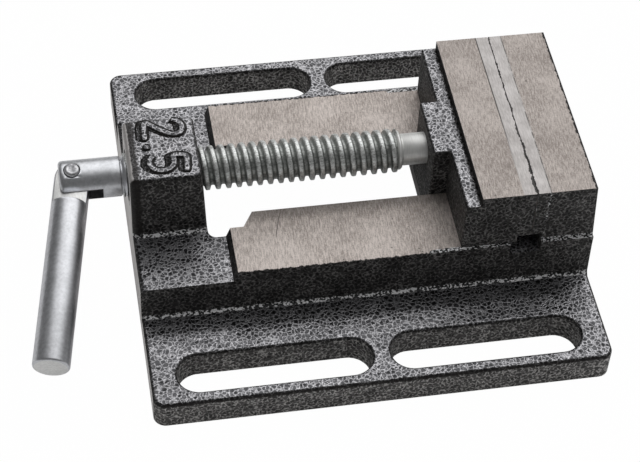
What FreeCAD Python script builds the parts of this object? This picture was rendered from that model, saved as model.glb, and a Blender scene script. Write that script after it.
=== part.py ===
import FreeCAD, Part
import Sketcher
import math
import os
import re

# Parallel jaw vise for a drilling table, in millimetres.
# The origin is the middle of the underside. X runs along the screw to the fixed jaw,
# Y to the back and Z up. The jaws are drawn closed, with the handle lying to the front.

Vector = FreeCAD.Vector
doc = FreeCAD.newDocument("parallel_jaw_vise")
sheet = doc.addObject("Spreadsheet::Sheet", "Sizes")

# Driving dimensions, each with its alias, its value and what it measures.
DRIVING_SIZES = [
    ("base_length", 128.8, "cast base along the screw"),
    ("flange_reach", 31.7, "bolting flange beyond the rails, each side"),
    ("flange_thickness", 9.0, "bolting flanges, from the table up"),
    ("flange_corner_radius", 3.5, "corners of the base seen from above"),
    ("flange_edge_round", 1.1, "rounded top edge of the flanges"),
    ("slot_end_margin", 7.4, "end of the base to the end of a bolt slot"),
    ("slot_bridge", 5.2, "between the two bolt slots of a flange"),
    ("slot_width", 12.5, "bolt slot across"),
    ("slot_edge_distance", 10.05, "side of the base to the middle of its slots"),
    ("slot_lip_round", 0.9, "rounded lip of each slot"),
    ("rail_overhang", 1.05, "raised rails beyond the jaws, each side"),
    ("wall_draft", 0.7, "how far each side wall leans out at its foot"),
    ("wall_foot_round", 1.2, "hollow between side wall and flange"),
    ("floor_height", 20.0, "painted floor beside the screw boss"),
    ("way_height", 23.4, "ground ways that the jaw slides on"),
    ("way_start", 27.2, "handle end of the base to the start of the ways"),
    ("way_step_slope", 1.2, "lean of the step up to the ways"),
    ("window_wide_width", 32.0, "wide part of the window across"),
    ("window_wide_end", 31.0, "handle end of the base to the end of the wide part"),
    ("guide_start", 34.1, "handle end of the base to the start of the guide slot"),
    ("guide_width", 21.4, "guide slot between the ways"),
    ("guide_end_wall", 3.6, "guide slot to the foot of the fixed jaw"),
    ("window_corner_radius", 2.5, "corners of the window"),
    ("recess_height", 13.4, "hollow underside, up to the machined underside of the ways"),
    ("recess_width", 53.0, "hollow underside across"),
    ("recess_end_wall", 8.0, "solid ends beyond the hollow underside"),
    ("recess_corner_radius", 4.0, "corners of the hollow underside"),
    ("relief_width", 9.0, "relief groove at the foot of the fixed jaw"),
    ("relief_depth", 3.5, "relief groove below the ways"),
    ("boss_length", 21.2, "screw boss along the screw"),
    ("boss_width", 25.8, "screw boss across, at its foot"),
    ("boss_above_screw", 9.7, "top of the screw boss above the middle of the screw"),
    ("boss_draft_angle", 3.0, "lean of the sides of the screw boss, in degrees"),
    ("boss_corner_radius", 1.6, "upright corners of the screw boss"),
    ("boss_top_round", 1.2, "top edges of the screw boss"),
    ("boss_foot_round", 1.2, "hollow round the foot of the screw boss"),
    ("jaw_width", 63.5, "both jaws and their plates across"),
    ("jaw_above_screw", 11.1, "top of the jaws above the middle of the screw"),
    ("fixed_jaw_depth", 14.4, "fixed jaw behind its plate, at the foot"),
    ("fixed_jaw_draft", 1.3, "lean of the back of the fixed jaw"),
    ("plate_shelf_depth", 0.8, "shelf under the fixed jaw plate"),
    ("plate_thickness", 3.85, "each jaw plate"),
    ("plate_seat_height", 26.0, "bottom of the jaw plates above the table"),
    ("plate_hole_margin", 11.75, "side of a jaw plate to the middle of its screw"),
    ("plate_screw_diameter", 5.0, "jaw plate screws"),
    ("plate_screw_head", 9.6, "countersunk head of the jaw plate screws"),
    ("plate_screw_length", 13.0, "jaw plate screws over their heads"),
    ("plate_socket_flats", 3.0, "hexagon socket of the jaw plate screws"),
    ("socket_depth", 2.0, "depth of the hexagon sockets"),
    ("closed_gap", 0.2, "between the jaw plates when closed"),
    ("moving_jaw_depth", 11.6, "ground top of the moving jaw behind its plate"),
    ("ledge_depth", 4.4, "painted ledge behind the ground top"),
    ("ledge_drop", 2.8, "painted ledge below the ground top"),
    ("nose_length", 4.8, "nose of the moving jaw that takes the screw"),
    ("nose_width", 20.6, "nose of the moving jaw across"),
    ("tongue_length", 13.9, "tongue in the guide slot, behind the nose"),
    ("guide_clearance", 0.3, "each side of the tongue in the guide slot"),
    ("slide_clearance", 0.05, "moving jaw above the ways"),
    ("casting_edge_round", 0.8, "edges of the moving jaw as cast"),
    ("keeper_thickness", 5.4, "keeper plate under the ways"),
    ("keeper_width", 31.0, "keeper plate across"),
    ("keeper_overhang", 0.2, "keeper plate behind the nose, less than flush"),
    ("keeper_length", 18.5, "keeper plate along the screw"),
    ("keeper_clearance", 0.2, "keeper plate below the ways"),
    ("keeper_screw_diameter", 6.0, "keeper screws"),
    ("keeper_screw_length", 17.0, "keeper screws under their heads"),
    ("keeper_screw_flats", 9.0, "keeper screw heads across the flats"),
    ("keeper_head_height", 3.2, "keeper screw heads"),
    ("keeper_screw_spacing", 10.4, "between the keeper screws"),
    ("washer_thickness", 1.2, "spring washers under the keeper screws"),
    ("washer_diameter", 9.4, "spring washers outside"),
    ("washer_slit", 1.0, "slit of the spring washers"),
    ("screw_height", 31.8, "middle of the lead screw above the table"),
    ("thread_diameter", 12.66, "lead screw over its thread"),
    ("thread_pitch", 3.0, "lead screw thread from crest to crest"),
    ("thread_depth", 1.35, "lead screw thread, crest to root"),
    ("thread_root_width", 0.7, "flat root of the thread"),
    ("thread_flank_angle", 30.0, "lean of the thread's flanks, in degrees"),
    ("thread_collar", 2.6, "plain collar between the head and the start of the thread"),
    ("thread_clearance", 0.07, "round the thread in its boss"),
    ("bore_chamfer", 1.0, "chamfer at both mouths of the threaded hole"),
    ("head_gap", 1.6, "screw head to the base when the jaws are closed"),
    ("head_length", 17.3, "forked head of the lead screw"),
    ("head_diameter", 11.4, "forked head of the lead screw"),
    ("head_end_round", 1.1, "rounded end of the forked head"),
    ("journal_diameter", 9.2, "plain end of the lead screw in the moving jaw"),
    ("journal_showing", 7.1, "plain end between thread and moving jaw"),
    ("journal_clearance", 0.06, "round the plain end in its hole"),
    ("journal_hole_depth", 15.0, "hole for the plain end in the moving jaw"),
    ("journal_end_gap", 0.3, "between the screw end and the bottom of its hole"),
    ("thread_end_taper", 1.4, "run-out at the end of the thread"),
    ("groove_diameter", 6.8, "groove of the plain end"),
    ("groove_width", 3.2, "groove of the plain end along the screw"),
    ("groove_from_mouth", 9.7, "mouth of the hole to the middle of the groove"),
    ("retainer_diameter", 3.0, "retaining pins beside the groove"),
    ("retainer_clearance", 0.05, "retaining pins to the bottom of the groove"),
    ("retainer_rise", 4.2, "retaining pins above the middle of the screw"),
    ("fork_slot_width", 4.8, "slot of the forked head"),
    ("fork_slot_depth", 11.9, "slot of the forked head from its end"),
    ("pin_setback", 3.7, "middle of the handle pin from the end of the head"),
    ("pin_diameter", 4.9, "handle pin"),
    ("pin_proud", 0.9, "handle pin above the forked head, each end"),
    ("pin_end_round", 0.6, "rounded ends of the handle pin"),
    ("pin_clearance", 0.05, "round the handle pin in the handle"),
    ("handle_diameter", 10.2, "handle bar"),
    ("handle_length", 58.2, "handle bar from its pin to its end"),
    ("tang_thickness", 4.3, "flat tang of the handle in the fork"),
    ("tang_tail", 6.0, "tang behind the pin"),
    ("tang_shoulder", 8.2, "pin to the shoulder of the round bar"),
    ("handle_end_chamfer", 0.5, "chamfered end of the handle bar"),
    ("screw_rest_angle", 12.0, "turn of the screw when drawn, in degrees"),
    ("handle_rest_angle", 10.8, "outward lean of the handle when drawn, in degrees"),
    ("tap_clearance", 1.0, "tapped holes beyond the ends of their screws"),
    ("overrun", 1.0, "how far a cut or a join runs past the face that it meets"),
]

for row_number, (alias, number, meaning) in enumerate(DRIVING_SIZES, start=1):
    sheet.set("A%d" % row_number, meaning)
    sheet.set("B%d" % row_number, repr(number))
    sheet.setAlias("B%d" % row_number, alias)
doc.recompute()

ALIASES = [alias for alias, number, meaning in DRIVING_SIZES]
ALIAS_PATTERN = re.compile(r"\b(%s)\b" % "|".join(ALIASES))


def in_document(expression):
    """Write an expression of aliases the way an object outside the sheet reads it."""
    return ALIAS_PATTERN.sub(r"Sizes.\1", expression)


def size(expression):
    """Work out an expression of aliases as a plain number."""
    return float(sheet.evalExpression(expression))


def bind(thing, prop, expression):
    """Tie one property of an object to the sheet."""
    thing.setExpression(prop, in_document(expression))


# Sizes and places that follow from the driving dimensions, each an expression of them.
rail_width = "(jaw_width + 2 * rail_overhang)"
base_width = "(%s + 2 * flange_reach)" % rail_width
slot_length = "((base_length - 2 * slot_end_margin - slot_bridge) / 2)"
slot_spacing_along = "(%s + slot_bridge)" % slot_length
slot_spacing_across = "(%s - 2 * slot_edge_distance)" % base_width
boss_height = "(screw_height + boss_above_screw)"
jaw_height = "(screw_height + jaw_above_screw)"
plate_hole_spacing = "(jaw_width - 2 * plate_hole_margin)"
handle_end = "(-base_length / 2)"
jaw_end = "(base_length / 2)"
boss_face = "(%s + boss_length)" % handle_end
way_start_x = "(%s + way_start)" % handle_end
fixed_face = "(%s - fixed_jaw_depth)" % jaw_end
shelf_face = "(%s - plate_shelf_depth)" % fixed_face
fixed_plate_face = "(%s - plate_thickness)" % fixed_face
moving_plate_face = "(%s - closed_gap)" % fixed_plate_face
moving_face = "(%s - plate_thickness)" % moving_plate_face
ground_top_start = "(%s - moving_jaw_depth)" % moving_face
moving_back = "(%s - ledge_depth)" % ground_top_start
nose_face = "(%s - nose_length)" % moving_back
tongue_end = "(%s + tongue_length)" % moving_back
head_inner_end = "(%s - head_gap)" % handle_end
head_outer_end = "(%s - head_length)" % head_inner_end
thread_end = "(%s - journal_showing)" % nose_face
journal_end = "(%s + journal_hole_depth - journal_end_gap)" % nose_face
groove_middle = "(%s + groove_from_mouth)" % nose_face
pin_middle = "(%s + pin_setback)" % head_outer_end
keeper_start = "(%s + keeper_overhang)" % nose_face
keeper_middle = "(%s + keeper_length / 2)" % keeper_start
ledge_height = "(%s - ledge_drop)" % jaw_height
jaw_underside = "(way_height + slide_clearance)"
keeper_top = "(recess_height - keeper_clearance)"
keeper_bottom = "(%s - keeper_thickness)" % keeper_top
washer_bottom = "(%s - washer_thickness)" % keeper_bottom
plate_screw_height = "((plate_seat_height + %s) / 2)" % jaw_height


def new_body(label):
    body = doc.addObject("PartDesign::Body", label)
    body.Label = label
    return body


def origin_plane(body, role):
    """Find one of a body's own origin planes."""
    return [f for f in body.Origin.OriginFeatures if f.Role == role][0]


def new_sketch(body, role, name, offset=None):
    """Lay a sketch on an origin plane of its body, moved along the plane's normal."""
    sketch = body.newObject("Sketcher::SketchObject", name)
    sketch.AttachmentSupport = (origin_plane(body, role), [""])
    sketch.MapMode = "FlatFace"
    if offset:
        bind(sketch, "AttachmentOffset.Base.z", offset)
    return sketch


def hold_coordinate(sketch, kind, curve, point, expression):
    """Tie one coordinate of a sketched point to the sheet, or put it on an axis."""
    if expression == "0":
        axis = -2 if kind == "DistanceX" else -1
        sketch.addConstraint(Sketcher.Constraint("PointOnObject", curve, point, axis))
        return
    number = size(expression)
    rule = sketch.addConstraint(Sketcher.Constraint(kind, -1, 1, curve, point, number))
    bind(sketch, "Constraints[%d]" % rule, expression)


def draw_outline(sketch, corners):
    """Draw a closed outline of straight lines through corners given as expressions."""
    first = sketch.GeometryCount
    count = len(corners)
    places = [Vector(size(across), size(up), 0) for across, up in corners]
    for index in range(count):
        line = Part.LineSegment(places[index], places[(index + 1) % count])
        sketch.addGeometry(line, False)
    for index in range(count):
        following = first + (index + 1) % count
        joint = Sketcher.Constraint("Coincident", first + index, 2, following, 1)
        sketch.addConstraint(joint)
    for index, (across, up) in enumerate(corners):
        hold_coordinate(sketch, "DistanceX", first + index, 1, across)
        hold_coordinate(sketch, "DistanceY", first + index, 1, up)


def draw_rectangle(sketch, left, right, bottom, top):
    corners = [(left, bottom), (right, bottom), (right, top), (left, top)]
    draw_outline(sketch, corners)


def draw_circle(sketch, across, up, radius):
    centre = Vector(size(across), size(up), 0)
    curve = sketch.addGeometry(Part.Circle(centre, Vector(0, 0, 1), size(radius)), False)
    hold_coordinate(sketch, "DistanceX", curve, 3, across)
    hold_coordinate(sketch, "DistanceY", curve, 3, up)
    rule = sketch.addConstraint(Sketcher.Constraint("Radius", curve, size(radius)))
    bind(sketch, "Constraints[%d]" % rule, radius)


def draw_slot(sketch, across, up, length, width):
    """Draw a slot with half-round ends, lying along the sketch's first axis."""
    radius = size(width) / 2
    reach = size(length) / 2 - radius
    middle = Vector(size(across), size(up), 0)
    normal = Vector(0, 0, 1)
    right_circle = Part.Circle(middle + Vector(reach, 0, 0), normal, radius)
    left_circle = Part.Circle(middle - Vector(reach, 0, 0), normal, radius)
    quarter = math.pi / 2
    right_end = sketch.addGeometry(Part.ArcOfCircle(right_circle, -quarter, quarter), False)
    left_end = sketch.addGeometry(Part.ArcOfCircle(left_circle, quarter, 3 * quarter), False)
    step = Vector(reach, 0, 0)
    side = Vector(0, radius, 0)
    top = Part.LineSegment(middle + step + side, middle - step + side)
    bottom = Part.LineSegment(middle - step - side, middle + step - side)
    top_line = sketch.addGeometry(top, False)
    bottom_line = sketch.addGeometry(bottom, False)
    for curve, point, other, other_point in (
        (right_end, 2, top_line, 1),
        (top_line, 2, left_end, 1),
        (left_end, 2, bottom_line, 1),
        (bottom_line, 2, right_end, 1),
    ):
        tangent = Sketcher.Constraint("Tangent", curve, point, other, other_point)
        sketch.addConstraint(tangent)
    rule = sketch.addConstraint(Sketcher.Constraint("Radius", right_end, radius))
    bind(sketch, "Constraints[%d]" % rule, width + " / 2")
    half = "(%s - %s) / 2" % (length, width)
    hold_coordinate(sketch, "DistanceX", right_end, 3, "%s + %s" % (across, half))
    hold_coordinate(sketch, "DistanceX", left_end, 3, "%s - %s" % (across, half))
    hold_coordinate(sketch, "DistanceY", right_end, 3, up)
    hold_coordinate(sketch, "DistanceY", left_end, 3, up)


def pad(body, name, sketch, length, both_ways=False):
    feature = body.newObject("PartDesign::Pad", name)
    feature.Profile = sketch
    feature.SideType = "Symmetric" if both_ways else "One side"
    bind(feature, "Length", length)
    doc.recompute()
    return feature


def pocket(body, name, sketch, length=None, reverse=False):
    """Cut a sketch away: right through both ways, or to a length one way."""
    before = body.Shape.Volume
    feature = body.newObject("PartDesign::Pocket", name)
    feature.Profile = sketch
    if length is None:
        feature.SideType = "Symmetric"
        feature.Type = "ThroughAll"
    else:
        feature.Reversed = reverse
        bind(feature, "Length", length)
    doc.recompute()
    assert body.Shape.Volume < before - 1e-6, name + " cuts nothing"
    return feature


def revolve(body, name, sketch):
    """Turn a sketch all the way round its own first axis."""
    feature = body.newObject("PartDesign::Revolution", name)
    feature.Profile = sketch
    feature.ReferenceAxis = (sketch, ["H_Axis"])
    feature.Angle = 360.0
    doc.recompute()
    return feature


def helix(body, name, sketch, pitch, height):
    """Cut a sketch away along a right-hand helix round its own first axis."""
    feature = body.newObject("PartDesign::SubtractiveHelix", name)
    feature.Profile = sketch
    feature.ReferenceAxis = (sketch, ["H_Axis"])
    feature.Mode = 0
    bind(feature, "Pitch", pitch)
    bind(feature, "Height", height)
    doc.recompute()
    return feature


def edge_names(body, test):
    """Name the edges of a body's present shape that pass a test."""
    edges = body.Shape.Edges
    return ["Edge%d" % (i + 1) for i, edge in enumerate(edges) if test(edge)]


def dress(body, kind, name, test, prop, amount):
    """Put a fillet or a chamfer on the edges that pass a test."""
    names = edge_names(body, test)
    assert names, name + " finds no edge"
    carrier = body.Tip
    feature = body.newObject("PartDesign::" + kind, name)
    feature.Base = (carrier, names)
    bind(feature, prop, amount)
    doc.recompute()
    return feature


def fillet(body, name, test, radius):
    return dress(body, "Fillet", name, test, "Radius", radius)


def chamfer(body, name, test, amount):
    return dress(body, "Chamfer", name, test, "Size", amount)


MARGIN = 0.1  # by this much a point lies clearly on one side of a face


def near(first, second, slack=0.01):
    return abs(first - second) < slack


def points_on(edge):
    """Give the start, the middle and the end of an edge."""
    first, last = edge.ParameterRange
    return [edge.valueAt(first + (last - first) * part) for part in (0.0, 0.5, 1.0)]


def lies_at(edge, axis, place):
    """Say whether a whole edge lies at one place along an axis, 0 for X to 2 for Z."""
    return all(near(point[axis], place) for point in points_on(edge))


def upright_at(edge, along, across):
    """Say whether an edge stands upright at plus or minus the given places."""
    points = points_on(edge)
    stands = near(points[0].x, points[2].x) and near(points[0].y, points[2].y)
    return stands and near(abs(points[1].x), abs(along)) and near(abs(points[1].y), abs(across))


def make_base_casting():
    """The casting: flanges with four slots, ways round a window, screw boss, fixed jaw."""
    body = new_body("base_casting")

    plan = new_sketch(body, "XY_Plane", "flange_plan")
    half_length = "base_length / 2"
    half_width = base_width + " / 2"
    draw_rectangle(plan, "-" + half_length, half_length, "-" + half_width, half_width)
    pad(body, "flange_plate", plan, "flange_thickness")
    end_x = size(half_length)
    edge_y = size(half_width)
    fillet(body, "flange_corners", lambda edge: upright_at(edge, end_x, edge_y),
           "flange_corner_radius")
    flange_top = size("flange_thickness")
    fillet(body, "flange_rim", lambda edge: lies_at(edge, 2, flange_top), "flange_edge_round")

    section = new_sketch(body, "YZ_Plane", "rail_section")
    top = rail_width + " / 2"
    foot = "(%s / 2 + wall_draft)" % rail_width
    draw_outline(section, [
        ("-" + foot, "flange_thickness / 2"),
        (foot, "flange_thickness / 2"),
        (foot, "flange_thickness"),
        (top, "floor_height"),
        ("-" + top, "floor_height"),
        ("-" + foot, "flange_thickness"),
    ])
    pad(body, "rail_block", section, "base_length", both_ways=True)

    ways = new_sketch(body, "XZ_Plane", "way_profile")
    draw_outline(ways, [
        ("%s - way_step_slope" % way_start_x, "floor_height"),
        ("%s - way_step_slope" % way_start_x, "floor_height - overrun"),
        (jaw_end, "floor_height - overrun"),
        (jaw_end, "way_height"),
        (way_start_x, "way_height"),
    ])
    pad(body, "way_pads", ways, rail_width, both_ways=True)

    jaw = new_sketch(body, "XZ_Plane", "fixed_jaw_profile")
    draw_outline(jaw, [
        (shelf_face, "way_height - relief_depth"),
        (jaw_end, "way_height - relief_depth"),
        (jaw_end, "way_height"),
        ("%s - fixed_jaw_draft" % jaw_end, jaw_height),
        (fixed_face, jaw_height),
        (fixed_face, "plate_seat_height"),
        (shelf_face, "plate_seat_height"),
    ])
    pad(body, "fixed_jaw", jaw, "jaw_width", both_ways=True)

    boss_plan = new_sketch(body, "XY_Plane", "boss_plan", "floor_height")
    rise = "(%s - floor_height)" % boss_height
    spare = "%s * tan(boss_draft_angle * 1 deg)" % rise
    draw_rectangle(boss_plan, "%s - %s - overrun / 2" % (handle_end, spare), boss_face,
                   "-boss_width / 2", "boss_width / 2")
    boss = pad(body, "screw_boss", boss_plan, rise)
    bind(boss, "TaperAngle", "-boss_draft_angle")
    doc.recompute()

    trim = new_sketch(body, "XZ_Plane", "end_face_trim")
    draw_rectangle(trim, "%s - boss_length" % handle_end, handle_end,
                   "-overrun", "%s + overrun" % boss_height)
    pocket(body, "machined_end_face", trim)
    boss_top = size(boss_height)
    boss_floor = size("floor_height")
    boss_end = size(boss_face)

    def is_boss_corner(edge):
        start, middle, end = points_on(edge)
        rises = abs(start.z - end.z) > 0.8 * (boss_top - boss_floor)
        return rises and middle.x < boss_end + MARGIN

    def is_boss_foot(edge):
        middle = points_on(edge)[1]
        beside = abs(middle.y) < size("boss_width / 2") + MARGIN
        return lies_at(edge, 2, boss_floor) and beside and middle.x < boss_end - MARGIN

    fillet(body, "boss_foot", is_boss_foot, "boss_foot_round")
    fillet(body, "boss_corners", is_boss_corner, "boss_corner_radius")
    fillet(body, "boss_top_edges", lambda edge: lies_at(edge, 2, boss_top), "boss_top_round")

    window = new_sketch(body, "XY_Plane", "window_plan")
    wide_x = "%s + window_wide_end" % handle_end
    guide_x = "%s + guide_start" % handle_end
    guide_end_x = "%s - guide_end_wall" % shelf_face
    draw_outline(window, [
        (boss_face, "-window_wide_width / 2"),
        (wide_x, "-window_wide_width / 2"),
        (guide_x, "-guide_width / 2"),
        (guide_end_x, "-guide_width / 2"),
        (guide_end_x, "guide_width / 2"),
        (guide_x, "guide_width / 2"),
        (wide_x, "window_wide_width / 2"),
        (boss_face, "window_wide_width / 2"),
    ])
    pocket(body, "window", window, "way_height + overrun / 2", reverse=True)
    window_x = size(boss_face)
    window_y = size("window_wide_width / 2")
    fillet(body, "window_corners", lambda edge: upright_at(edge, window_x, window_y),
           "window_corner_radius")

    relief = new_sketch(body, "XZ_Plane", "relief_profile")
    draw_rectangle(relief, "%s - relief_width" % shelf_face, shelf_face,
                   "way_height - relief_depth", "plate_seat_height")
    pocket(body, "relief_groove", relief)

    recess = new_sketch(body, "XY_Plane", "recess_plan")
    recess_x = "(base_length / 2 - recess_end_wall)"
    draw_rectangle(recess, "-" + recess_x, recess_x, "-recess_width / 2", "recess_width / 2")
    pocket(body, "hollow_underside", recess, "recess_height", reverse=True)
    corner_x = size(recess_x)
    corner_y = size("recess_width / 2")
    fillet(body, "recess_corners", lambda edge: upright_at(edge, corner_x, corner_y),
           "recess_corner_radius")

    slots = new_sketch(body, "XY_Plane", "slot_plan")
    for along in ("-", ""):
        for across in ("-", ""):
            draw_slot(slots, along + slot_spacing_along + " / 2",
                      across + slot_spacing_across + " / 2", slot_length, "slot_width")
    pocket(body, "bolt_slots", slots)

    bore = new_sketch(body, "YZ_Plane", "screw_hole", handle_end)
    draw_circle(bore, "0", "screw_height", "thread_diameter / 2 + thread_clearance")
    pocket(body, "threaded_hole", bore, "boss_length + overrun", reverse=True)
    hole_radius = size("thread_diameter / 2 + thread_clearance")

    def is_hole_mouth(edge):
        curve = edge.Curve
        return isinstance(curve, Part.Circle) and near(curve.Radius, hole_radius)

    chamfer(body, "threaded_hole_mouths", is_hole_mouth, "bore_chamfer")

    taps = new_sketch(body, "YZ_Plane", "fixed_plate_taps", fixed_face)
    for side in ("-", ""):
        draw_circle(taps, side + plate_hole_spacing + " / 2", plate_screw_height,
                    "plate_screw_diameter / 2")
    pocket(body, "fixed_plate_tapped_holes", taps,
           "plate_screw_length - plate_thickness + tap_clearance", reverse=True)

    slot_inner = size("(%s - slot_width) / 2" % slot_spacing_across)
    slot_outer = size("(%s + slot_width) / 2" % slot_spacing_across)
    wall_foot = size(foot)

    def is_slot_lip(edge):
        middle = points_on(edge)[1]
        inside = slot_inner - MARGIN < abs(middle.y) < slot_outer + MARGIN
        return lies_at(edge, 2, flange_top) and inside and abs(middle.x) < end_x - MARGIN

    fillet(body, "slot_lips", is_slot_lip, "slot_lip_round")

    def is_wall_foot(edge):
        middle = points_on(edge)[1]
        return lies_at(edge, 2, flange_top) and near(abs(middle.y), wall_foot)

    fillet(body, "wall_feet", is_wall_foot, "wall_foot_round")
    return body


def make_moving_jaw():
    """The sliding jaw: ledge and nose at the back, tongue below, holes for what it carries."""
    body = new_body("moving_jaw")

    profile = new_sketch(body, "XZ_Plane", "jaw_profile")
    draw_outline(profile, [
        (moving_back, jaw_underside),
        (moving_face, jaw_underside),
        (moving_face, jaw_height),
        (ground_top_start, jaw_height),
        (ground_top_start, ledge_height),
        (moving_back, ledge_height),
    ])
    pad(body, "jaw_block", profile, "jaw_width", both_ways=True)

    nose = new_sketch(body, "XZ_Plane", "nose_profile")
    draw_outline(nose, [
        (nose_face, keeper_top),
        ("%s + overrun" % moving_back, keeper_top),
        ("%s + overrun" % moving_back, ledge_height),
        (nose_face, ledge_height),
    ])
    pad(body, "screw_nose", nose, "nose_width", both_ways=True)

    tongue = new_sketch(body, "XZ_Plane", "tongue_profile")
    draw_rectangle(tongue, moving_back, tongue_end, keeper_top, "%s + overrun" % jaw_underside)
    pad(body, "guide_tongue", tongue, "guide_width - 2 * guide_clearance", both_ways=True)

    journal = new_sketch(body, "YZ_Plane", "journal_hole", nose_face)
    draw_circle(journal, "0", "screw_height", "journal_diameter / 2 + journal_clearance")
    pocket(body, "journal_bore", journal, "journal_hole_depth", reverse=True)

    taps = new_sketch(body, "YZ_Plane", "moving_plate_taps", moving_face)
    for side in ("-", ""):
        draw_circle(taps, side + plate_hole_spacing + " / 2", plate_screw_height,
                    "plate_screw_diameter / 2")
    pocket(body, "moving_plate_tapped_holes", taps,
           "plate_screw_length - plate_thickness + tap_clearance")

    keeper_taps = new_sketch(body, "XY_Plane", "keeper_taps", keeper_top)
    for way in ("-", "+"):
        along = "%s %s keeper_screw_spacing / 2" % (keeper_middle, way)
        draw_circle(keeper_taps, along, "0", "keeper_screw_diameter / 2")
    pocket(body, "keeper_tapped_holes", keeper_taps,
           "keeper_screw_length - keeper_thickness - washer_thickness + tap_clearance",
           reverse=True)

    holes = new_sketch(body, "XY_Plane", "retainer_holes", keeper_top)
    for side in ("-", ""):
        draw_circle(holes, groove_middle, side + retainer_offset, "retainer_diameter / 2")
    pocket(body, "retainer_pin_holes", holes,
           "screw_height + retainer_rise - %s" % keeper_top, reverse=True)

    ledge = size(ledge_height)
    back = size(moving_back)
    mouth = size(nose_face)
    side_y = size("jaw_width / 2")
    nose_y = size("nose_width / 2")

    def is_cast_edge(edge):
        start, middle, end = points_on(edge)
        on_ledge = lies_at(edge, 2, ledge) and middle.x < back + MARGIN
        nose_side = near(middle.x, mouth) and near(abs(middle.y), nose_y)
        back_side = near(middle.x, back) and near(abs(middle.y), side_y)
        return on_ledge or nose_side or back_side

    fillet(body, "cast_edges", is_cast_edge, "casting_edge_round")
    return body


def make_jaw_plate(label, back_face, towards_screw):
    """A ground steel plate with two countersunk holes, its working face at the front."""
    body = new_body(label)
    plan = new_sketch(body, "YZ_Plane", label + "_outline", back_face)
    draw_rectangle(plan, "-jaw_width / 2", "jaw_width / 2", "plate_seat_height", jaw_height)
    slab = pad(body, label + "_slab", plan, "plate_thickness")
    slab.Reversed = towards_screw
    doc.recompute()
    front_face = "%s - plate_thickness" % back_face
    if not towards_screw:
        front_face = "%s + plate_thickness" % back_face
    centres = new_sketch(body, "YZ_Plane", label + "_hole_centres", front_face)
    for side in ("-", ""):
        draw_circle(centres, side + plate_hole_spacing + " / 2", plate_screw_height,
                    "plate_screw_diameter / 2")
    hole = body.newObject("PartDesign::Hole", label + "_countersunk_holes")
    hole.Profile = centres
    hole.DepthType = "ThroughAll"
    hole.Reversed = towards_screw
    doc.recompute()
    hole.HoleCutType = "Countersink"
    hole.HoleCutCustomValues = True
    bind(hole, "Diameter", "plate_screw_diameter")
    bind(hole, "HoleCutDiameter", "plate_screw_head")
    hole.HoleCutCountersinkAngle = 90.0
    doc.recompute()
    return body


def make_lead_screw():
    """Forked head, collar, right-hand thread and plain end with a groove, on one axis."""
    body = new_body("lead_screw")
    head = "head_diameter / 2"
    thread = "thread_diameter / 2"
    journal = "journal_diameter / 2"
    groove = "groove_diameter / 2"
    groove_start = "%s - groove_width / 2" % groove_middle
    groove_stop = "%s + groove_width / 2" % groove_middle
    profile = new_sketch(body, "XZ_Plane", "turned_profile")
    draw_outline(profile, [
        (head_outer_end, "0"),
        (head_outer_end, head),
        (head_inner_end, head),
        (head_inner_end, thread),
        ("%s - thread_end_taper" % thread_end, thread),
        (thread_end, journal),
        (groove_start, journal),
        (groove_start, groove),
        (groove_stop, groove),
        (groove_stop, journal),
        ("%s - head_end_round" % journal_end, journal),
        (journal_end, "%s - head_end_round" % journal),
        (journal_end, "0"),
    ])
    revolve(body, "turned_bar", profile)
    outer = size(head_outer_end)
    fillet(body, "head_end", lambda edge: lies_at(edge, 0, outer), "head_end_round")

    groove_section = new_sketch(body, "XZ_Plane", "thread_groove_section")
    start = "(%s + thread_collar + thread_pitch / 2)" % head_inner_end
    above = "overrun / 4"
    half_root = "thread_root_width / 2"
    half_mouth = "(%s + (thread_depth + %s) * tan(thread_flank_angle * 1 deg))" % (half_root, above)
    root = "%s - thread_depth" % thread
    mouth = "%s + %s" % (thread, above)
    draw_outline(groove_section, [
        ("%s - %s" % (start, half_root), root),
        ("%s + %s" % (start, half_root), root),
        ("%s + %s" % (start, half_mouth), mouth),
        ("%s - %s" % (start, half_mouth), mouth),
    ])
    helix(body, "screw_thread", groove_section, "thread_pitch",
          "%s - %s + thread_pitch" % (thread_end, start))

    slot = new_sketch(body, "XZ_Plane", "fork_slot_profile")
    draw_rectangle(slot, "%s - overrun" % head_outer_end, "%s + fork_slot_depth" % head_outer_end,
                   "-fork_slot_width / 2", "fork_slot_width / 2")
    pocket(body, "fork_slot", slot)
    hole = new_sketch(body, "XY_Plane", "pin_hole_circle")
    draw_circle(hole, pin_middle, "0", "pin_diameter / 2")
    pocket(body, "pin_hole", hole)
    bind(body, "Placement", "placement(vector(0; 0; screw_height); %s)" % screw_turn)
    return body


def make_handle_bar():
    """A round bar with a flat tang that swings in the fork, drawn from its pin along -Y."""
    body = new_body("handle_bar")
    section = new_sketch(body, "XZ_Plane", "bar_section", "-tang_tail")
    draw_circle(section, "0", "0", "handle_diameter / 2")
    pad(body, "round_bar", section, "tang_tail + handle_length")
    tip = size("-handle_length")
    chamfer(body, "bar_end", lambda edge: lies_at(edge, 1, tip), "handle_end_chamfer")
    flats = new_sketch(body, "YZ_Plane", "tang_flats")
    for side in ("-", ""):
        near_face = side + "tang_thickness / 2"
        far_face = side + "handle_diameter"
        draw_rectangle(flats, "-tang_shoulder", "tang_tail + overrun", near_face, far_face)
    pocket(body, "flat_tang", flats)
    hole = new_sketch(body, "XY_Plane", "tang_hole_circle")
    draw_circle(hole, "0", "0", "pin_diameter / 2 + pin_clearance")
    pocket(body, "tang_hole", hole)
    lean = "rotation(vector(0; 0; 1); -handle_rest_angle * 1 deg)"
    place = "placement(vector(%s; 0; screw_height); %s * %s)"
    bind(body, "Placement", place % (pin_middle, screw_turn, lean))
    return body


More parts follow.
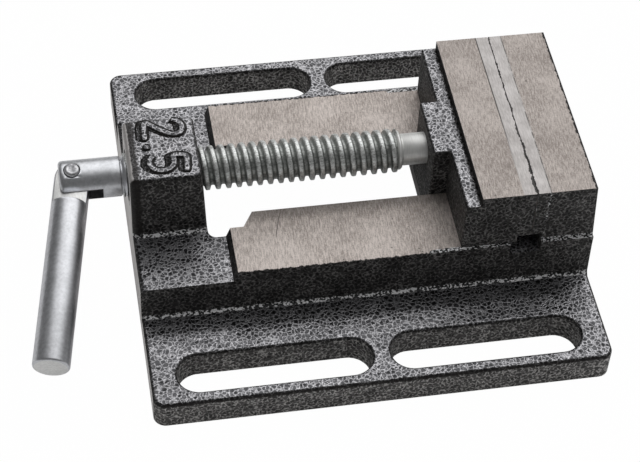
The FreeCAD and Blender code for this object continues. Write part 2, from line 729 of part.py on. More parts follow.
def make_handle_pin():
    """The pin pressed through the fork, its rounded ends standing proud."""
    body = new_body("handle_pin")
    half = "(head_diameter / 2 + pin_proud)"
    section = new_sketch(body, "XY_Plane", "pin_section", "-" + half)
    draw_circle(section, "0", "0", "pin_diameter / 2")
    pad(body, "pin_bar", section, "2 * " + half)
    reach = size(half)

    def is_pin_end(edge):
        return lies_at(edge, 2, reach) or lies_at(edge, 2, -reach)

    fillet(body, "pin_ends", is_pin_end, "pin_end_round")
    place = "placement(vector(%s; 0; screw_height); %s)"
    bind(body, "Placement", place % (pin_middle, screw_turn))
    return body


def make_keeper_plate():
    """The flat plate under the ways that holds the moving jaw down."""
    body = new_body("keeper_plate")
    plan = new_sketch(body, "XY_Plane", "keeper_outline", keeper_bottom)
    draw_rectangle(plan, keeper_start, "%s + keeper_length" % keeper_start,
                   "-keeper_width / 2", "keeper_width / 2")
    pad(body, "keeper_slab", plan, "keeper_thickness")
    holes = new_sketch(body, "XY_Plane", "keeper_holes", keeper_bottom)
    for way in ("-", "+"):
        along = "%s %s keeper_screw_spacing / 2" % (keeper_middle, way)
        draw_circle(holes, along, "0", "keeper_screw_diameter / 2")
    pocket(body, "keeper_screw_holes", holes)
    bottom = size(keeper_bottom)

    def is_lower_rim(edge):
        return lies_at(edge, 2, bottom) and isinstance(edge.Curve, Part.Line)

    chamfer(body, "keeper_lower_edges", is_lower_rim, "casting_edge_round")
    return body


def primitive(kind, name, **bound):
    """Make a Part primitive or boolean and tie the named properties to the sheet."""
    thing = doc.addObject("Part::" + kind, name)
    for prop, expression in bound.items():
        bind(thing, prop, expression)
    return thing


def place(thing, along, across, up, turn="rotation(vector(0; 0; 1); 0 deg)"):
    position = "vector(%s; %s; %s)" % (along, across, up)
    bind(thing, "Placement", "placement(%s; %s)" % (position, turn))
    return thing


def cut(label, whole, tool):
    """Cut one solid from another and give the result its label."""
    result = doc.addObject("Part::Cut", label)
    result.Label = label
    result.Base = whole
    result.Tool = tool
    return result


def make_plate_screw(label, face, across, turn):
    """A countersunk screw with a hexagon socket, its head flush with a plate's face."""
    head = primitive("Cone", label + "_head", Radius1="plate_screw_head / 2",
                     Radius2="plate_screw_diameter / 2",
                     Height="(plate_screw_head - plate_screw_diameter) / 2")
    shank = primitive("Cylinder", label + "_shank", Radius="plate_screw_diameter / 2",
                      Height="plate_screw_length")
    blank = doc.addObject("Part::Fuse", label + "_blank")
    blank.Base = head
    blank.Tool = shank
    socket = primitive("Prism", label + "_socket", Height="socket_depth",
                       Circumradius="plate_socket_flats / sqrt(3)")
    for thing in (head, shank, socket):
        place(thing, face, across, plate_screw_height, turn)
    return cut(label, blank, socket)


def make_keeper_screw(label, along):
    """A hexagon-head screw driven up into the tongue."""
    head = primitive("Prism", label + "_head", Height="keeper_head_height",
                     Circumradius="keeper_screw_flats / sqrt(3)")
    shank = primitive("Cylinder", label + "_shank", Radius="keeper_screw_diameter / 2",
                      Height="keeper_screw_length + keeper_head_height")
    for thing in (head, shank):
        place(thing, along, "0", "%s - keeper_head_height" % washer_bottom)
    screw = doc.addObject("Part::Fuse", label)
    screw.Label = label
    screw.Base = head
    screw.Tool = shank
    return screw


def make_keeper_washer(label, along):
    """A split spring washer under the head of a keeper screw."""
    ring = primitive("Cylinder", label + "_disc", Radius="washer_diameter / 2",
                     Height="washer_thickness")
    hole = primitive("Cylinder", label + "_hole", Radius="keeper_screw_diameter / 2",
                     Height="washer_thickness")
    for thing in (ring, hole):
        place(thing, along, "0", washer_bottom)
    whole = doc.addObject("Part::Cut", label + "_ring")
    whole.Base = ring
    whole.Tool = hole
    slit = primitive("Box", label + "_slit", Length="washer_slit", Width="washer_diameter",
                     Height="washer_thickness")
    place(slit, "%s - washer_slit / 2" % along, "0", washer_bottom)
    return cut(label, whole, slit)


def make_retaining_pin(label, side):
    """A dowel beside the groove of the plain end, which keeps the screw in the jaw."""
    pin = primitive("Cylinder", label + "_dowel", Radius="retainer_diameter / 2",
                    Height="screw_height + retainer_rise - %s" % keeper_top)
    place(pin, groove_middle, side + retainer_offset, keeper_top)
    pin.Label = label
    return pin


retainer_offset = "(groove_diameter / 2 + retainer_clearance + retainer_diameter / 2)"
screw_turn = "rotation(vector(1; 0; 0); screw_rest_angle * 1 deg)"
turn_to_jaw_end = "rotation(vector(0; 1; 0); 90 deg)"
turn_to_handle_end = "rotation(vector(0; 1; 0); -90 deg)"

sub_parts = [
    make_base_casting(),
    make_moving_jaw(),
    make_jaw_plate("fixed_jaw_plate", fixed_face, True),
    make_jaw_plate("moving_jaw_plate", moving_face, False),
    make_lead_screw(),
    make_handle_pin(),
    make_handle_bar(),
    make_keeper_plate(),
]
for side_name, side in (("front", "-"), ("back", "")):
    across = side + plate_hole_spacing + " / 2"
    sub_parts.append(make_plate_screw(
        "fixed_plate_screw_" + side_name, fixed_plate_face, across, turn_to_jaw_end))
    sub_parts.append(make_plate_screw(
        "moving_plate_screw_" + side_name, moving_plate_face, across, turn_to_handle_end))
    sub_parts.append(make_retaining_pin("retaining_pin_" + side_name, side))
for end_name, way in (("inner", "-"), ("outer", "+")):
    along = "(%s %s keeper_screw_spacing / 2)" % (keeper_middle, way)
    sub_parts.append(make_keeper_screw("keeper_screw_" + end_name, along))
    sub_parts.append(make_keeper_washer("keeper_washer_" + end_name, along))
doc.recompute()

for thing in doc.Objects:
    if "Invalid" in thing.State or "Error" in thing.State:
        raise RuntimeError("%s could not be built" % thing.Label)
for sub_part in sub_parts:
    shape = sub_part.Shape
    if shape.isNull() or not shape.isValid() or len(shape.Solids) != 1:
        raise RuntimeError("%s is not one valid solid" % sub_part.Label)

os.makedirs("parts", exist_ok=True)
for sub_part in sub_parts:
    sub_part.Shape.exportStep("parts/%s.step" % sub_part.Label)
    print(sub_part.Label, round(sub_part.Shape.Volume, 1))
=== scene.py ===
# %% [markdown]
# # Parallel jaw vise for a drilling table
# This lesson dresses a finished CAD model of a small machine vise. The CAD model gives
# every size and every joint, so the scene only adds what CAD leaves plain: paint, ground
# and plated metal, a thread with round crests, the cast size number and the light. All
# lengths in the frame are in metres. X runs along the screw to the fixed jaw, Y to the
# back and Z up.

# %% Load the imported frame
import math
from types import SimpleNamespace

import bmesh
import bpy
from mathutils import Matrix, Vector


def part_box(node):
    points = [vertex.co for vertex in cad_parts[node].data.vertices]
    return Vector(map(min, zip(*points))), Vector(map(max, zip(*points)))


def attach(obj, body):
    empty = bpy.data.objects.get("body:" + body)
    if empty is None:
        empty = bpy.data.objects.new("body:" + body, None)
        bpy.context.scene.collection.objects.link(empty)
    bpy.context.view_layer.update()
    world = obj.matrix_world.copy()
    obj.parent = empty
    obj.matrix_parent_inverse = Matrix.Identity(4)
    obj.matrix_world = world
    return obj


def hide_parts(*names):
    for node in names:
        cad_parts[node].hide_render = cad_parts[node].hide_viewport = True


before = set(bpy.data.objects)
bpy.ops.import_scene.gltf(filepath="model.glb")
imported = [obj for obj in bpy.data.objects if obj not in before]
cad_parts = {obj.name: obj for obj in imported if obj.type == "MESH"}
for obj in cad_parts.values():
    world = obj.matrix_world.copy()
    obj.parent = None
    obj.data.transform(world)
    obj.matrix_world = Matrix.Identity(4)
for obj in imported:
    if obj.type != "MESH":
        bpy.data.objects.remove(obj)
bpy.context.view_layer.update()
MM = 0.001

# %% [markdown]
# The camera comes first, because everything else is judged through it. It stands in front
# of the handle end and looks down on the vise by about 48 degrees. Its place and its axes
# were fitted to the corners of the casting, and the lens is a long one, so the far slots
# are hardly smaller than the near ones. The frame of the photograph isn't centred on the
# optical axis, and the two shifts give that.

# %% Camera
PHOTO_WIDTH, PHOTO_HEIGHT = 640, 462
FOCAL_PX = 1920.69
AXIS_PX = (343.46, 230.63)
CAMERA_PLACE = Vector((-87.14, -370.41, 429.70)) * MM
CAMERA_RIGHT = Vector((0.98376, -0.17280, 0.04865)).normalized()
CAMERA_FORWARD = Vector((0.15027, 0.64444, -0.74974)).normalized()
SENSOR_MM = 36.0

camera_back = -CAMERA_FORWARD
camera_up = camera_back.cross(CAMERA_RIGHT).normalized()
camera_turn = Matrix((CAMERA_RIGHT, camera_up, camera_back)).transposed().to_4x4()

lens = bpy.data.cameras.new("photo_camera")
lens.sensor_fit = "HORIZONTAL"
lens.sensor_width = SENSOR_MM
lens.lens = FOCAL_PX * SENSOR_MM / PHOTO_WIDTH
lens.shift_x = (PHOTO_WIDTH / 2 - AXIS_PX[0]) / PHOTO_WIDTH
lens.shift_y = (AXIS_PX[1] - PHOTO_HEIGHT / 2) / PHOTO_WIDTH
lens.clip_start = 0.01
camera = bpy.data.objects.new("photo_camera", lens)
camera.matrix_world = Matrix.Translation(CAMERA_PLACE) @ camera_turn
bpy.context.scene.collection.objects.link(camera)
bpy.context.scene.camera = camera
bpy.context.scene.view_settings.view_transform = "Standard"
print("lens in mm:", round(lens.lens, 1))

# %% [markdown]
# A node tree is easier to read as text when each node takes one line. `put` adds a node,
# links what is a socket and sets what is a number. The sums after it take any number of
# values, so that a mask reads as one product of its conditions.


# %% Helpers for sums in a node tree
def put(tree, kind, inputs=(), **settings):
    """Add a node; inputs maps a socket's name or number to a value or another socket."""
    node = tree.nodes.new(kind)
    for name, value in settings.items():
        setattr(node, name, value)
    for key, value in dict(inputs).items():
        if isinstance(value, bpy.types.NodeSocket):
            tree.links.new(value, node.inputs[key])
        else:
            node.inputs[key].default_value = value
    return node


def calc(tree, operation, first, *others):
    """Work through the values with one operation."""
    for other in others or (0.0,):
        first = put(tree, "ShaderNodeMath", {0: first, 1: other}, operation=operation).outputs[0]
    return first


def plus(tree, *values):
    return calc(tree, "ADD", *values)


def less(tree, first, second):
    return calc(tree, "SUBTRACT", first, second)


def times(tree, *values):
    return calc(tree, "MULTIPLY", *values)


def most(tree, *values):
    return calc(tree, "MAXIMUM", *values)


def flip(tree, share):
    """Turn 0 into 1 and 1 into 0."""
    return less(tree, 1.0, share)


# %% [markdown]
# Finishes are drawn with soft steps and with noise. `ease` is the soft step, `between` is
# a pair of them, and `waver` is noise that swings about zero, which makes a straight
# border ragged when it is added to a place.


# %% Helpers for patterns
def ease(tree, value, low, high):
    """Rise smoothly from 0 at low to 1 at high, or fall if high is below low."""
    if high >= low:
        ends = {"Value": value, "From Min": low, "From Max": high}
    else:
        ends = {"Value": value, "From Min": high, "From Max": low, "To Min": 1.0, "To Max": 0.0}
    return put(tree, "ShaderNodeMapRange", ends, interpolation_type="SMOOTHSTEP").outputs[0]


def between(tree, value, low, high, soft=0.05 * MM):
    """1 where the value lies from low to high, with soft ends."""
    return times(tree, ease(tree, value, low - soft, low + soft),
                 ease(tree, value, high + soft, high - soft))


def remap(tree, value, old, new):
    """Carry a value from one range to another in a straight line."""
    ends = {"Value": value, "From Min": old[0], "From Max": old[1], "To Min": new[0], "To Max": new[1]}
    return put(tree, "ShaderNodeMapRange", ends).outputs[0]


def noise(tree, place, per_metre, detail=2.0, roughness=0.5):
    inputs = {"Vector": place, "Scale": per_metre, "Detail": detail, "Roughness": roughness}
    return put(tree, "ShaderNodeTexNoise", inputs).outputs["Fac"]


def waver(tree, place, per_metre, detail, width):
    """Noise that swings about zero, by up to half a width to either side."""
    return times(tree, less(tree, noise(tree, place, per_metre, detail), 0.5), width)


def stretch(tree, place, scale, turn=(0, 0, 0)):
    """Squeeze a pattern's coordinates, so that it is drawn out along the small factors."""
    inputs = {"Vector": place, "Scale": scale, "Rotation": turn}
    return put(tree, "ShaderNodeMapping", inputs).outputs[0]


def split(tree, vector):
    return put(tree, "ShaderNodeSeparateXYZ", {0: vector}).outputs


# %% Helpers for colours and materials
def mix(tree, share, first, second):
    """Mix two colours."""
    return put(tree, "ShaderNodeMix", {0: share, 6: first, 7: second}, data_type="RGBA").outputs[2]


def blend(tree, share, first, second):
    """Mix two plain values."""
    return put(tree, "ShaderNodeMix", {0: share, 2: first, 3: second}).outputs[0]


def scaled(tree, vector, factor):
    """Make a colour brighter or a vector longer."""
    return put(tree, "ShaderNodeVectorMath", {0: vector, "Scale": factor}, operation="SCALE").outputs[0]


def grey(value):
    return (value, value, value, 1.0)


def new_finish(name):
    """Start a material and give its tree, its shader and its object coordinates."""
    material = bpy.data.materials.new(name)
    material.use_nodes = True
    tree = material.node_tree
    tree.nodes.clear()
    shader = put(tree, "ShaderNodeBsdfPrincipled")
    output = put(tree, "ShaderNodeOutputMaterial", {"Surface": shader.outputs[0]})
    output.is_active_output = True
    place = put(tree, "ShaderNodeTexCoord").outputs
    return material, tree, shader, place


def feed(tree, shader, **sockets):
    """Link or set the shader's sockets, with _ for a space in their names."""
    for name, value in sockets.items():
        socket = shader.inputs[name.replace("_", " ")]
        if isinstance(value, bpy.types.NodeSocket):
            tree.links.new(value, socket)
        else:
            socket.default_value = value


def bump(tree, height, strength, distance):
    inputs = {"Height": height, "Strength": strength, "Distance": distance}
    return put(tree, "ShaderNodeBump", inputs).outputs[0]


def dress(node_name, *materials):
    """Give a CAD node or a piece its materials."""
    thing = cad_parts.get(node_name) or bpy.data.objects[node_name]
    thing.data.materials.clear()
    for material in materials:
        thing.data.materials.append(material)


# %% [markdown]
# The finishes change from face to face of the casting, so they need a few of its places:
# the levels of its steps, the end that the screw enters, and the height of the screw.
# What the frame can tell is read from its boxes.

# %% Places on the casting
base_low, base_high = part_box("base_casting")
FLANGE_TOP, FLOOR_TOP, WAY_HEIGHT = 9.0 * MM, 20.0 * MM, 23.4 * MM
JAW_TOP = base_high.z
HANDLE_END = base_low.x
AXIS_HEIGHT = sum(corner.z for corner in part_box("lead_screw")) / 2
BOSS_TOP = AXIS_HEIGHT + 9.7 * MM
BOSS_BACK = -40.0 * MM
print("screw axis, boss top and jaw top in mm:",
      [round(height / MM, 1) for height in (AXIS_HEIGHT, BOSS_TOP, JAW_TOP)])

# %% [markdown]
# The casting is painted with hammer paint, a metallic lacquer that draws together into
# dark dimples in a silvery net as it dries. Its colour also carries painted light and
# shade: the net and the dimples are drawn bright on level faces and dark on upright faces,
# which therefore look nearly black. The dimples are the cells of a Voronoi texture, a
# little over a millimetre wide. Noise moves the cells first, because bare Voronoi borders
# are too straight for a liquid.

# %% Cells of the hammer paint
CELLS_PER_METRE = 800.0
CELL_DRIFT = 0.8 * MM


def paint_cells(tree, place):
    """Give the distances to a cell's rim and centre, and two chances for each cell."""
    wobble = put(tree, "ShaderNodeTexNoise", {"Vector": place, "Scale": 1000.0, "Detail": 2.0})
    swing = put(tree, "ShaderNodeVectorMath", {0: wobble.outputs["Color"], 1: (0.5, 0.5, 0.5)},
                operation="SUBTRACT").outputs[0]
    drift = scaled(tree, swing, CELL_DRIFT)
    moved = put(tree, "ShaderNodeVectorMath", {0: place, 1: drift}, operation="ADD").outputs[0]
    inputs = {"Vector": moved, "Scale": CELLS_PER_METRE}
    rim = put(tree, "ShaderNodeTexVoronoi", inputs, feature="DISTANCE_TO_EDGE")
    centre = put(tree, "ShaderNodeTexVoronoi", inputs)
    chance = split(tree, centre.outputs["Color"])
    return rim.outputs["Distance"], centre.outputs["Distance"], chance[0], chance[1]


# %% Colours of the hammer paint
def net_colour(tree, place, level):
    """The net sparkles. It is drawn bright on level faces and dark and broken on upright ones, as painted
    light and shade.
    """
    sparkle = ease(tree, noise(tree, place, 2600.0, 2.0, 0.6), 0.38, 0.62)
    lit_net = mix(tree, sparkle, (0.255, 0.253, 0.265, 1), (0.685, 0.68, 0.705, 1))
    broken = ease(tree, noise(tree, place, 1300.0, 2.0), 0.43, 0.57)
    shaded_net = mix(tree, broken, (0.06, 0.058, 0.056, 1), (0.26, 0.253, 0.248, 1))
    return mix(tree, level, shaded_net, lit_net)


def dimple_colour(tree, centre, dark_chance, black_chance, level):
    """A dimple is pale or dark by chance and darker on upright faces as painted shade; some have a black core
    of painted shade, as in a deep pit.
    """
    soft = mix(tree, ease(tree, centre, 0.42, 0.12), (0.11, 0.11, 0.116, 1), (0.25, 0.248, 0.26, 1))
    pale = mix(tree, level, (0.062, 0.06, 0.059, 1), soft)
    dark = mix(tree, level, (0.032, 0.031, 0.0305, 1), (0.09, 0.09, 0.096, 1))
    black = mix(tree, level, (0.012, 0.0115, 0.011, 1), (0.03, 0.03, 0.032, 1))
    core = times(tree, ease(tree, centre, 0.5, 0.22), ease(tree, black_chance, 0.45, 0.7))
    return mix(tree, core, mix(tree, ease(tree, dark_chance, 0.0, 0.75), pale, dark), black)


# %% [markdown]
# The paint needs to know how level it lies, which the normal says, because its painted
# shade follows that. It is also thicker in some patches than in others, and the patches
# are darker on upright faces as painted shade. Low on the flange's sides it is paler, as
# painted light. The distance that colours the dimples also sinks them in the bump, so
# colour and shape agree.

# %% Hammer paint
LEVEL_FROM, LEVEL_TO = 0.6, 0.95
RIM_FROM, RIM_TO = 0.04, 0.185
PATCH_LEAST, PATCH_MOST = 0.62, 1.1
LEVEL_LIGHT_GAIN, LOW_SIDE_LIGHT_GAIN = 0.14, 1.5
DIMPLE_DEPTH = 0.75


def hammer_paint(tree, place, normal):
    """Give colour with painted light and shade, height, levelness and the places where the surface bends."""
    rim, centre, dark_chance, black_chance = paint_cells(tree, place)
    upwards = split(tree, normal)[2]
    level = ease(tree, plus(tree, upwards, waver(tree, place, 800.0, 2.0, 0.7)), LEVEL_FROM, LEVEL_TO)
    inside = ease(tree, plus(tree, rim, waver(tree, place, 450.0, 2.0, 0.16)), RIM_FROM, RIM_TO)
    colour = mix(tree, inside, net_colour(tree, place, level),
                 dimple_colour(tree, centre, dark_chance, black_chance, level))
    # Painted shade: the patches are darker on upright faces.
    patch_least = plus(tree, PATCH_LEAST, times(tree, level, LEVEL_LIGHT_GAIN))
    patches = remap(tree, noise(tree, place, 170.0, 2.0), (0.3, 0.7), (patch_least, PATCH_MOST))
    # Painted light: the flange's sides are paler low down.
    low_side_light = times(tree, ease(tree, split(tree, place)[2], FLANGE_TOP + 0.5 * MM, FLANGE_TOP - 1.5 * MM),
                     flip(tree, level))
    gain = times(tree, patches, plus(tree, 1.0, times(tree, low_side_light, LOW_SIDE_LIGHT_GAIN)))
    height = flip(tree, times(tree, inside, DIMPLE_DEPTH))
    # Bends between level and upright faces, which get painted shade.
    bend = times(tree, ease(tree, upwards, 0.15, 0.4), ease(tree, upwards, 0.985, 0.9))
    return scaled(tree, colour, gain), height, level, bend


# %% [markdown]
# The ways and the jaw tops are ground, so they carry the fine lines of the wheel, which
# run along Y. Noise that is squeezed along X gives the lines, and broad noise under it
# gives the cloudy wear. The front way has one curved scratch, and the inner edges of both
# ways are darker.

# %% Ground iron
SCRATCH_X, SCRATCH_Y, SCRATCH_LENGTH = -24.95 * MM, -21.4 * MM, 9.2 * MM
SCRATCH_HALF_WIDTH, SCRATCH_SLOPE, SCRATCH_BEND = 0.2 * MM, 0.2, 8.0
WHEEL_LEAN = 0.06
INNER_DARK_REACH, INNER_DARK_FADE = 16.2 * MM, 2.4 * MM
WAY_GAIN, INNER_DARK_SHARE, PIT_SHARE, SCRATCH_SHARE = 0.16, 0.4, 0.7, 0.75


def grinding_lines(tree, place):
    return noise(tree, stretch(tree, place, (2600.0, 420.0, 420.0)), 1.0, 3.0, 0.7)


def way_scratch(tree, x, y):
    """A thin curve that starts at a place on the front way and runs to the back."""
    along = less(tree, y, SCRATCH_Y)
    bow = plus(tree, times(tree, along, SCRATCH_SLOPE), times(tree, along, along, SCRATCH_BEND))
    aside = calc(tree, "ABSOLUTE", less(tree, less(tree, x, SCRATCH_X), bow))
    return times(tree, ease(tree, aside, SCRATCH_HALF_WIDTH, 0.4 * SCRATCH_HALF_WIDTH),
                 between(tree, along, 0.0, SCRATCH_LENGTH, 0.8 * MM))


def casting_pits(tree, place):
    """Small pits that the grinding left, in loose groups."""
    pits = put(tree, "ShaderNodeTexVoronoi", {"Vector": place, "Scale": 420.0}).outputs["Distance"]
    return ease(tree, plus(tree, pits, times(tree, noise(tree, place, 180.0), 0.3)), 0.24, 0.17)


def ground_iron(tree, place):
    """Give the colour and the height of warm grey iron with grinding lines."""
    lines = grinding_lines(tree, stretch(tree, place, (1.0, 1.0, 1.0), (0, 0, WHEEL_LEAN)))
    grain = noise(tree, place, 2400.0, 2.0, 0.6)
    clouds = noise(tree, place, 60.0, 3.0, 0.6)
    tone = plus(tree, times(tree, lines, 0.5), times(tree, clouds, 0.25), times(tree, grain, 0.25))
    colour = mix(tree, ease(tree, tone, 0.385, 0.615), (0.29, 0.253, 0.231, 1), (0.61, 0.552, 0.517, 1))
    x, y, z = split(tree, place)
    on_way = ease(tree, z, WAY_HEIGHT + 2.6 * MM, WAY_HEIGHT + 1.6 * MM)
    colour = scaled(tree, colour, plus(tree, 1.0, times(tree, on_way, WAY_GAIN)))
    inner = plus(tree, calc(tree, "ABSOLUTE", y), times(tree, lines, 2.0 * MM))
    inner_dark = times(tree, ease(tree, inner, INNER_DARK_REACH, INNER_DARK_REACH - INNER_DARK_FADE), on_way, INNER_DARK_SHARE)
    pits = most(tree, casting_pits(tree, place), inner_dark)
    dark = most(tree, times(tree, pits, PIT_SHARE),
                times(tree, way_scratch(tree, x, y), on_way, SCRATCH_SHARE))
    return (mix(tree, dark, colour, (0.10, 0.09, 0.085, 1)),
            less(tree, times(tree, lines, 0.25), pits))


# %% [markdown]
# The handle end was faced on a mill, which leaves brighter iron with upright streaks. Dark
# crescents lie round the screw, partly rub marks of its collar and partly painted shade
# round the screw head. They are noise that changes fast with the distance from the
# screw's axis and slowly round it.

# %% Milled iron
SCUFF_SHADE_REACH, SCUFF_SHADE_FADE, SCUFF_SHADE_SHARE = 9.2 * MM, 1.2 * MM, 0.65


def from_axis(tree, y, z):
    """How far a place lies from the screw's axis."""
    above = less(tree, z, AXIS_HEIGHT)
    return calc(tree, "SQRT", plus(tree, times(tree, y, y), times(tree, above, above)))


def collar_scuffs_and_shade(tree, y, z, clouds):
    radius = from_axis(tree, y, z)
    round_axis = put(tree, "ShaderNodeCombineXYZ", {0: times(tree, radius, 1900.0),
                     1: times(tree, y, 260.0), 2: times(tree, z, 260.0)}).outputs[0]
    crescents = ease(tree, noise(tree, round_axis, 1.0, 3.0, 0.6), 0.42, 0.6)
    reach = plus(tree, radius, times(tree, less(tree, clouds, 0.5), 2.5 * MM))
    return times(tree, ease(tree, reach, SCUFF_SHADE_REACH, SCUFF_SHADE_REACH - SCUFF_SHADE_FADE), crescents)


def milled_iron(tree, place):
    """Give the colour and the height of the faced end."""
    streaks = noise(tree, stretch(tree, place, (300.0, 2400.0, 260.0)), 1.0, 3.0, 0.6)
    clouds = noise(tree, place, 90.0, 3.0)
    tone = plus(tree, times(tree, streaks, 0.5), times(tree, clouds, 0.5))
    colour = mix(tree, ease(tree, tone, 0.35, 0.65), (0.68, 0.655, 0.64, 1), (0.88, 0.855, 0.84, 1))
    _, y, z = split(tree, place)
    # Rub marks and painted shade round the screw.
    scuffs_and_shade = times(tree, collar_scuffs_and_shade(tree, y, z, clouds), SCUFF_SHADE_SHARE)
    return mix(tree, scuffs_and_shade, colour, (0.12, 0.112, 0.108, 1)), times(tree, streaks, 0.4)


# %% [markdown]
# One material carries paint and bare metal together, because on the casting they meet in
# ragged borders in the middle of a face. Each casting has a function of masks that says
# where its metal is ground or milled, where the paint ends in a black edge or carries
# painted shade, where bright specks of painted highlight lie, and where a band of painted
# shade and shadow darkens it.

# %% Finish of a casting
BLACK_EDGE_AND_SHADE = (0.02, 0.018, 0.017, 1)
BEND_SHADE = (0.016, 0.0155, 0.015, 1)
HIGHLIGHT_SPECK_DARK, HIGHLIGHT_SPECK_BRIGHT = (0.03, 0.03, 0.031, 1), (0.96, 0.96, 0.97, 1)
WALL_BOSS_SHADE_LOSS = 0.5
PAINT_BUMP, PAINT_RELIEF = 0.4, 0.16 * MM


def highlight_crumbs(tree, place):
    """Bright and dark specks of painted highlight, in clumps."""
    crumbs = noise(tree, stretch(tree, place, (1350.0, 1700.0, 1700.0)), 1.0, 1.0, 0.5)
    fleck = ease(tree, plus(tree, crumbs, waver(tree, place, 400.0, 2.0, 0.3)), 0.49, 0.53)
    return mix(tree, fleck, HIGHLIGHT_SPECK_DARK, HIGHLIGHT_SPECK_BRIGHT)


def painted_colour(tree, place, paint, bend, highlight_specks, wall_boss_shade):
    """Darken the paint with painted shade and shadow in bands and on bends, and lay painted highlight specks.
    """
    paint = scaled(tree, paint, flip(tree, times(tree, wall_boss_shade, WALL_BOSS_SHADE_LOSS)))
    mottled = plus(tree, 0.4, times(tree, ease(tree, noise(tree, place, 1700.0, 2.0), 0.4, 0.55), 0.5))
    # Painted shade on the bends, mottled.
    colour = mix(tree, times(tree, bend, mottled, flip(tree, highlight_specks)), paint, BEND_SHADE)
    return mix(tree, highlight_specks, colour, highlight_crumbs(tree, place))


def cast_finish(name, masks, bare_metal):
    """Hammer paint, with bare metal where the masks say so."""
    material, tree, shader, coords = new_finish(name)
    place, normal = coords["Object"], coords["Normal"]
    paint, height, level, bend = hammer_paint(tree, place, normal)
    ground, edge, milled, highlight_specks, wall_boss_shade = masks(tree, place, normal)
    colour = painted_colour(tree, place, paint, bend, highlight_specks, wall_boss_shade)
    bare, bare_height = bare_metal(tree, place)
    end_iron, end_height = milled_iron(tree, place)
    colour = mix(tree, milled, mix(tree, ground, colour, bare), end_iron)
    # Black edges: the paint's ragged borders, the dark flange line, and painted shade on the boss rim, the
    # number, the jaw step and the plate seams.
    colour = mix(tree, edge, colour, BLACK_EDGE_AND_SHADE)
    metal_shows = most(tree, ground, milled)
    net_rough = remap(tree, height, (0.25, 1.0), (0.2, 0.33))
    paint_rough = remap(tree, level, (0.0, 1.0), (0.55, net_rough))
    paint_metal = remap(tree, level, (0.0, 1.0), (0.35, 0.7))
    rough = blend(tree, metal_shows, paint_rough, 0.5)
    metal = times(tree, blend(tree, metal_shows, paint_metal, 0.55), flip(tree, highlight_specks))
    tall = blend(tree, milled, blend(tree, ground, height, bare_height), end_height)
    feed(tree, shader, Base_Color=colour, Roughness=rough, Metallic=metal, Specular_IOR_Level=0.25,
         Normal=bump(tree, tall, PAINT_BUMP, PAINT_RELIEF))
    print(name, len(tree.nodes), "nodes")
    return material


# %% [markdown]
# The masks of a casting ask the same things of every place on it: where it is, how far
# from the middle plane, whether it faces up, and by how much a border is ragged there.
# `survey` works them out once.

# %% Survey of a place on a casting
JAW_TOP_SKIN = 0.2 * MM


def survey(tree, place, normal, raggedness):
    """Gather what the masks ask of a place."""
    x, y, z = split(tree, place)
    facing_x, _, facing_z = split(tree, normal)
    return SimpleNamespace(
        place=place, x=x, y=y, z=z, out=calc(tree, "ABSOLUTE", y), facing_x=facing_x,
        facing_z=facing_z, up=ease(tree, facing_z, 0.9, 0.97),
        on_jaw_top=ease(tree, z, JAW_TOP - JAW_TOP_SKIN - 0.1 * MM, JAW_TOP - JAW_TOP_SKIN),
        ragged=waver(tree, place, 900.0, 3.0, raggedness))


# %% [markdown]
# On the base the ways and the top of the fixed jaw are ground, and the paint stops short
# of their edges in a ragged black line. Beside the fixed jaw the way narrows, and bright
# specks of painted highlight lie on the narrow ledge that is left.

# %% Ground faces of the base
RAIL_EDGE, LEDGE_START, LEDGE_INSET = 32.5 * MM, 17.0 * MM, 1.0 * MM
JAW_TOP_END = 62.6 * MM


def ground_faces(tree, spot):
    """Give the ground share, the black edge round it and the ledge beside the jaw."""
    on_way = between(tree, spot.z, WAY_HEIGHT - 0.2 * MM, WAY_HEIGHT + 0.2 * MM)
    by_jaw = ease(tree, spot.x, LEDGE_START - 0.5 * MM, LEDGE_START + 0.5 * MM)
    limit = less(tree, RAIL_EDGE, times(tree, by_jaw, LEDGE_INSET))
    beyond = less(tree, plus(tree, spot.out, spot.ragged), limit)
    ways = times(tree, on_way, ease(tree, beyond, 0.1 * MM, -0.1 * MM))
    before_end = ease(tree, plus(tree, spot.x, spot.ragged), JAW_TOP_END + 0.1 * MM, JAW_TOP_END - 0.1 * MM)
    ground = times(tree, spot.up, most(tree, ways, times(tree, spot.on_jaw_top, before_end)))
    edge = times(tree, spot.up, most(tree, on_way, spot.on_jaw_top), flip(tree, ground))
    ledge = times(tree, edge, by_jaw, on_way)
    return ground, less(tree, edge, ledge), ledge


# %% [markdown]
# At the handle end the boss is bare up to the top of its rounded edge, and a dark band of
# painted shade follows, standing for the rounding of that edge. The flange has a thinner
# dark line round its upper edge.

# %% Handle end and rims of the base
DARK_BAND, WORN_BAND = 3.4 * MM, 1.3 * MM
WORN_HALF_WIDTH = 11.4 * MM
BAND_LOSS_WHERE_WORN = 0.6
FLANGE_RIM_SHARE, RIM_SHARE = 0.75, 0.9


def handle_end(tree, spot):
    """Give the faced end, and the bare edge of the boss above it."""
    faced = times(tree, ease(tree, spot.facing_x, -0.85, -0.95),
                  ease(tree, spot.x, HANDLE_END + 0.1 * MM, HANDLE_END + 0.05 * MM))
    border = plus(tree, spot.x, times(tree, spot.ragged, 0.4))
    worn = times(tree, ease(tree, border, HANDLE_END + WORN_BAND, HANDLE_END + WORN_BAND - 0.3 * MM),
                 ease(tree, spot.z, BOSS_TOP - 1.4 * MM, BOSS_TOP - 1.2 * MM),
                 ease(tree, spot.out, WORN_HALF_WIDTH, WORN_HALF_WIDTH - 0.5 * MM))
    return faced, worn


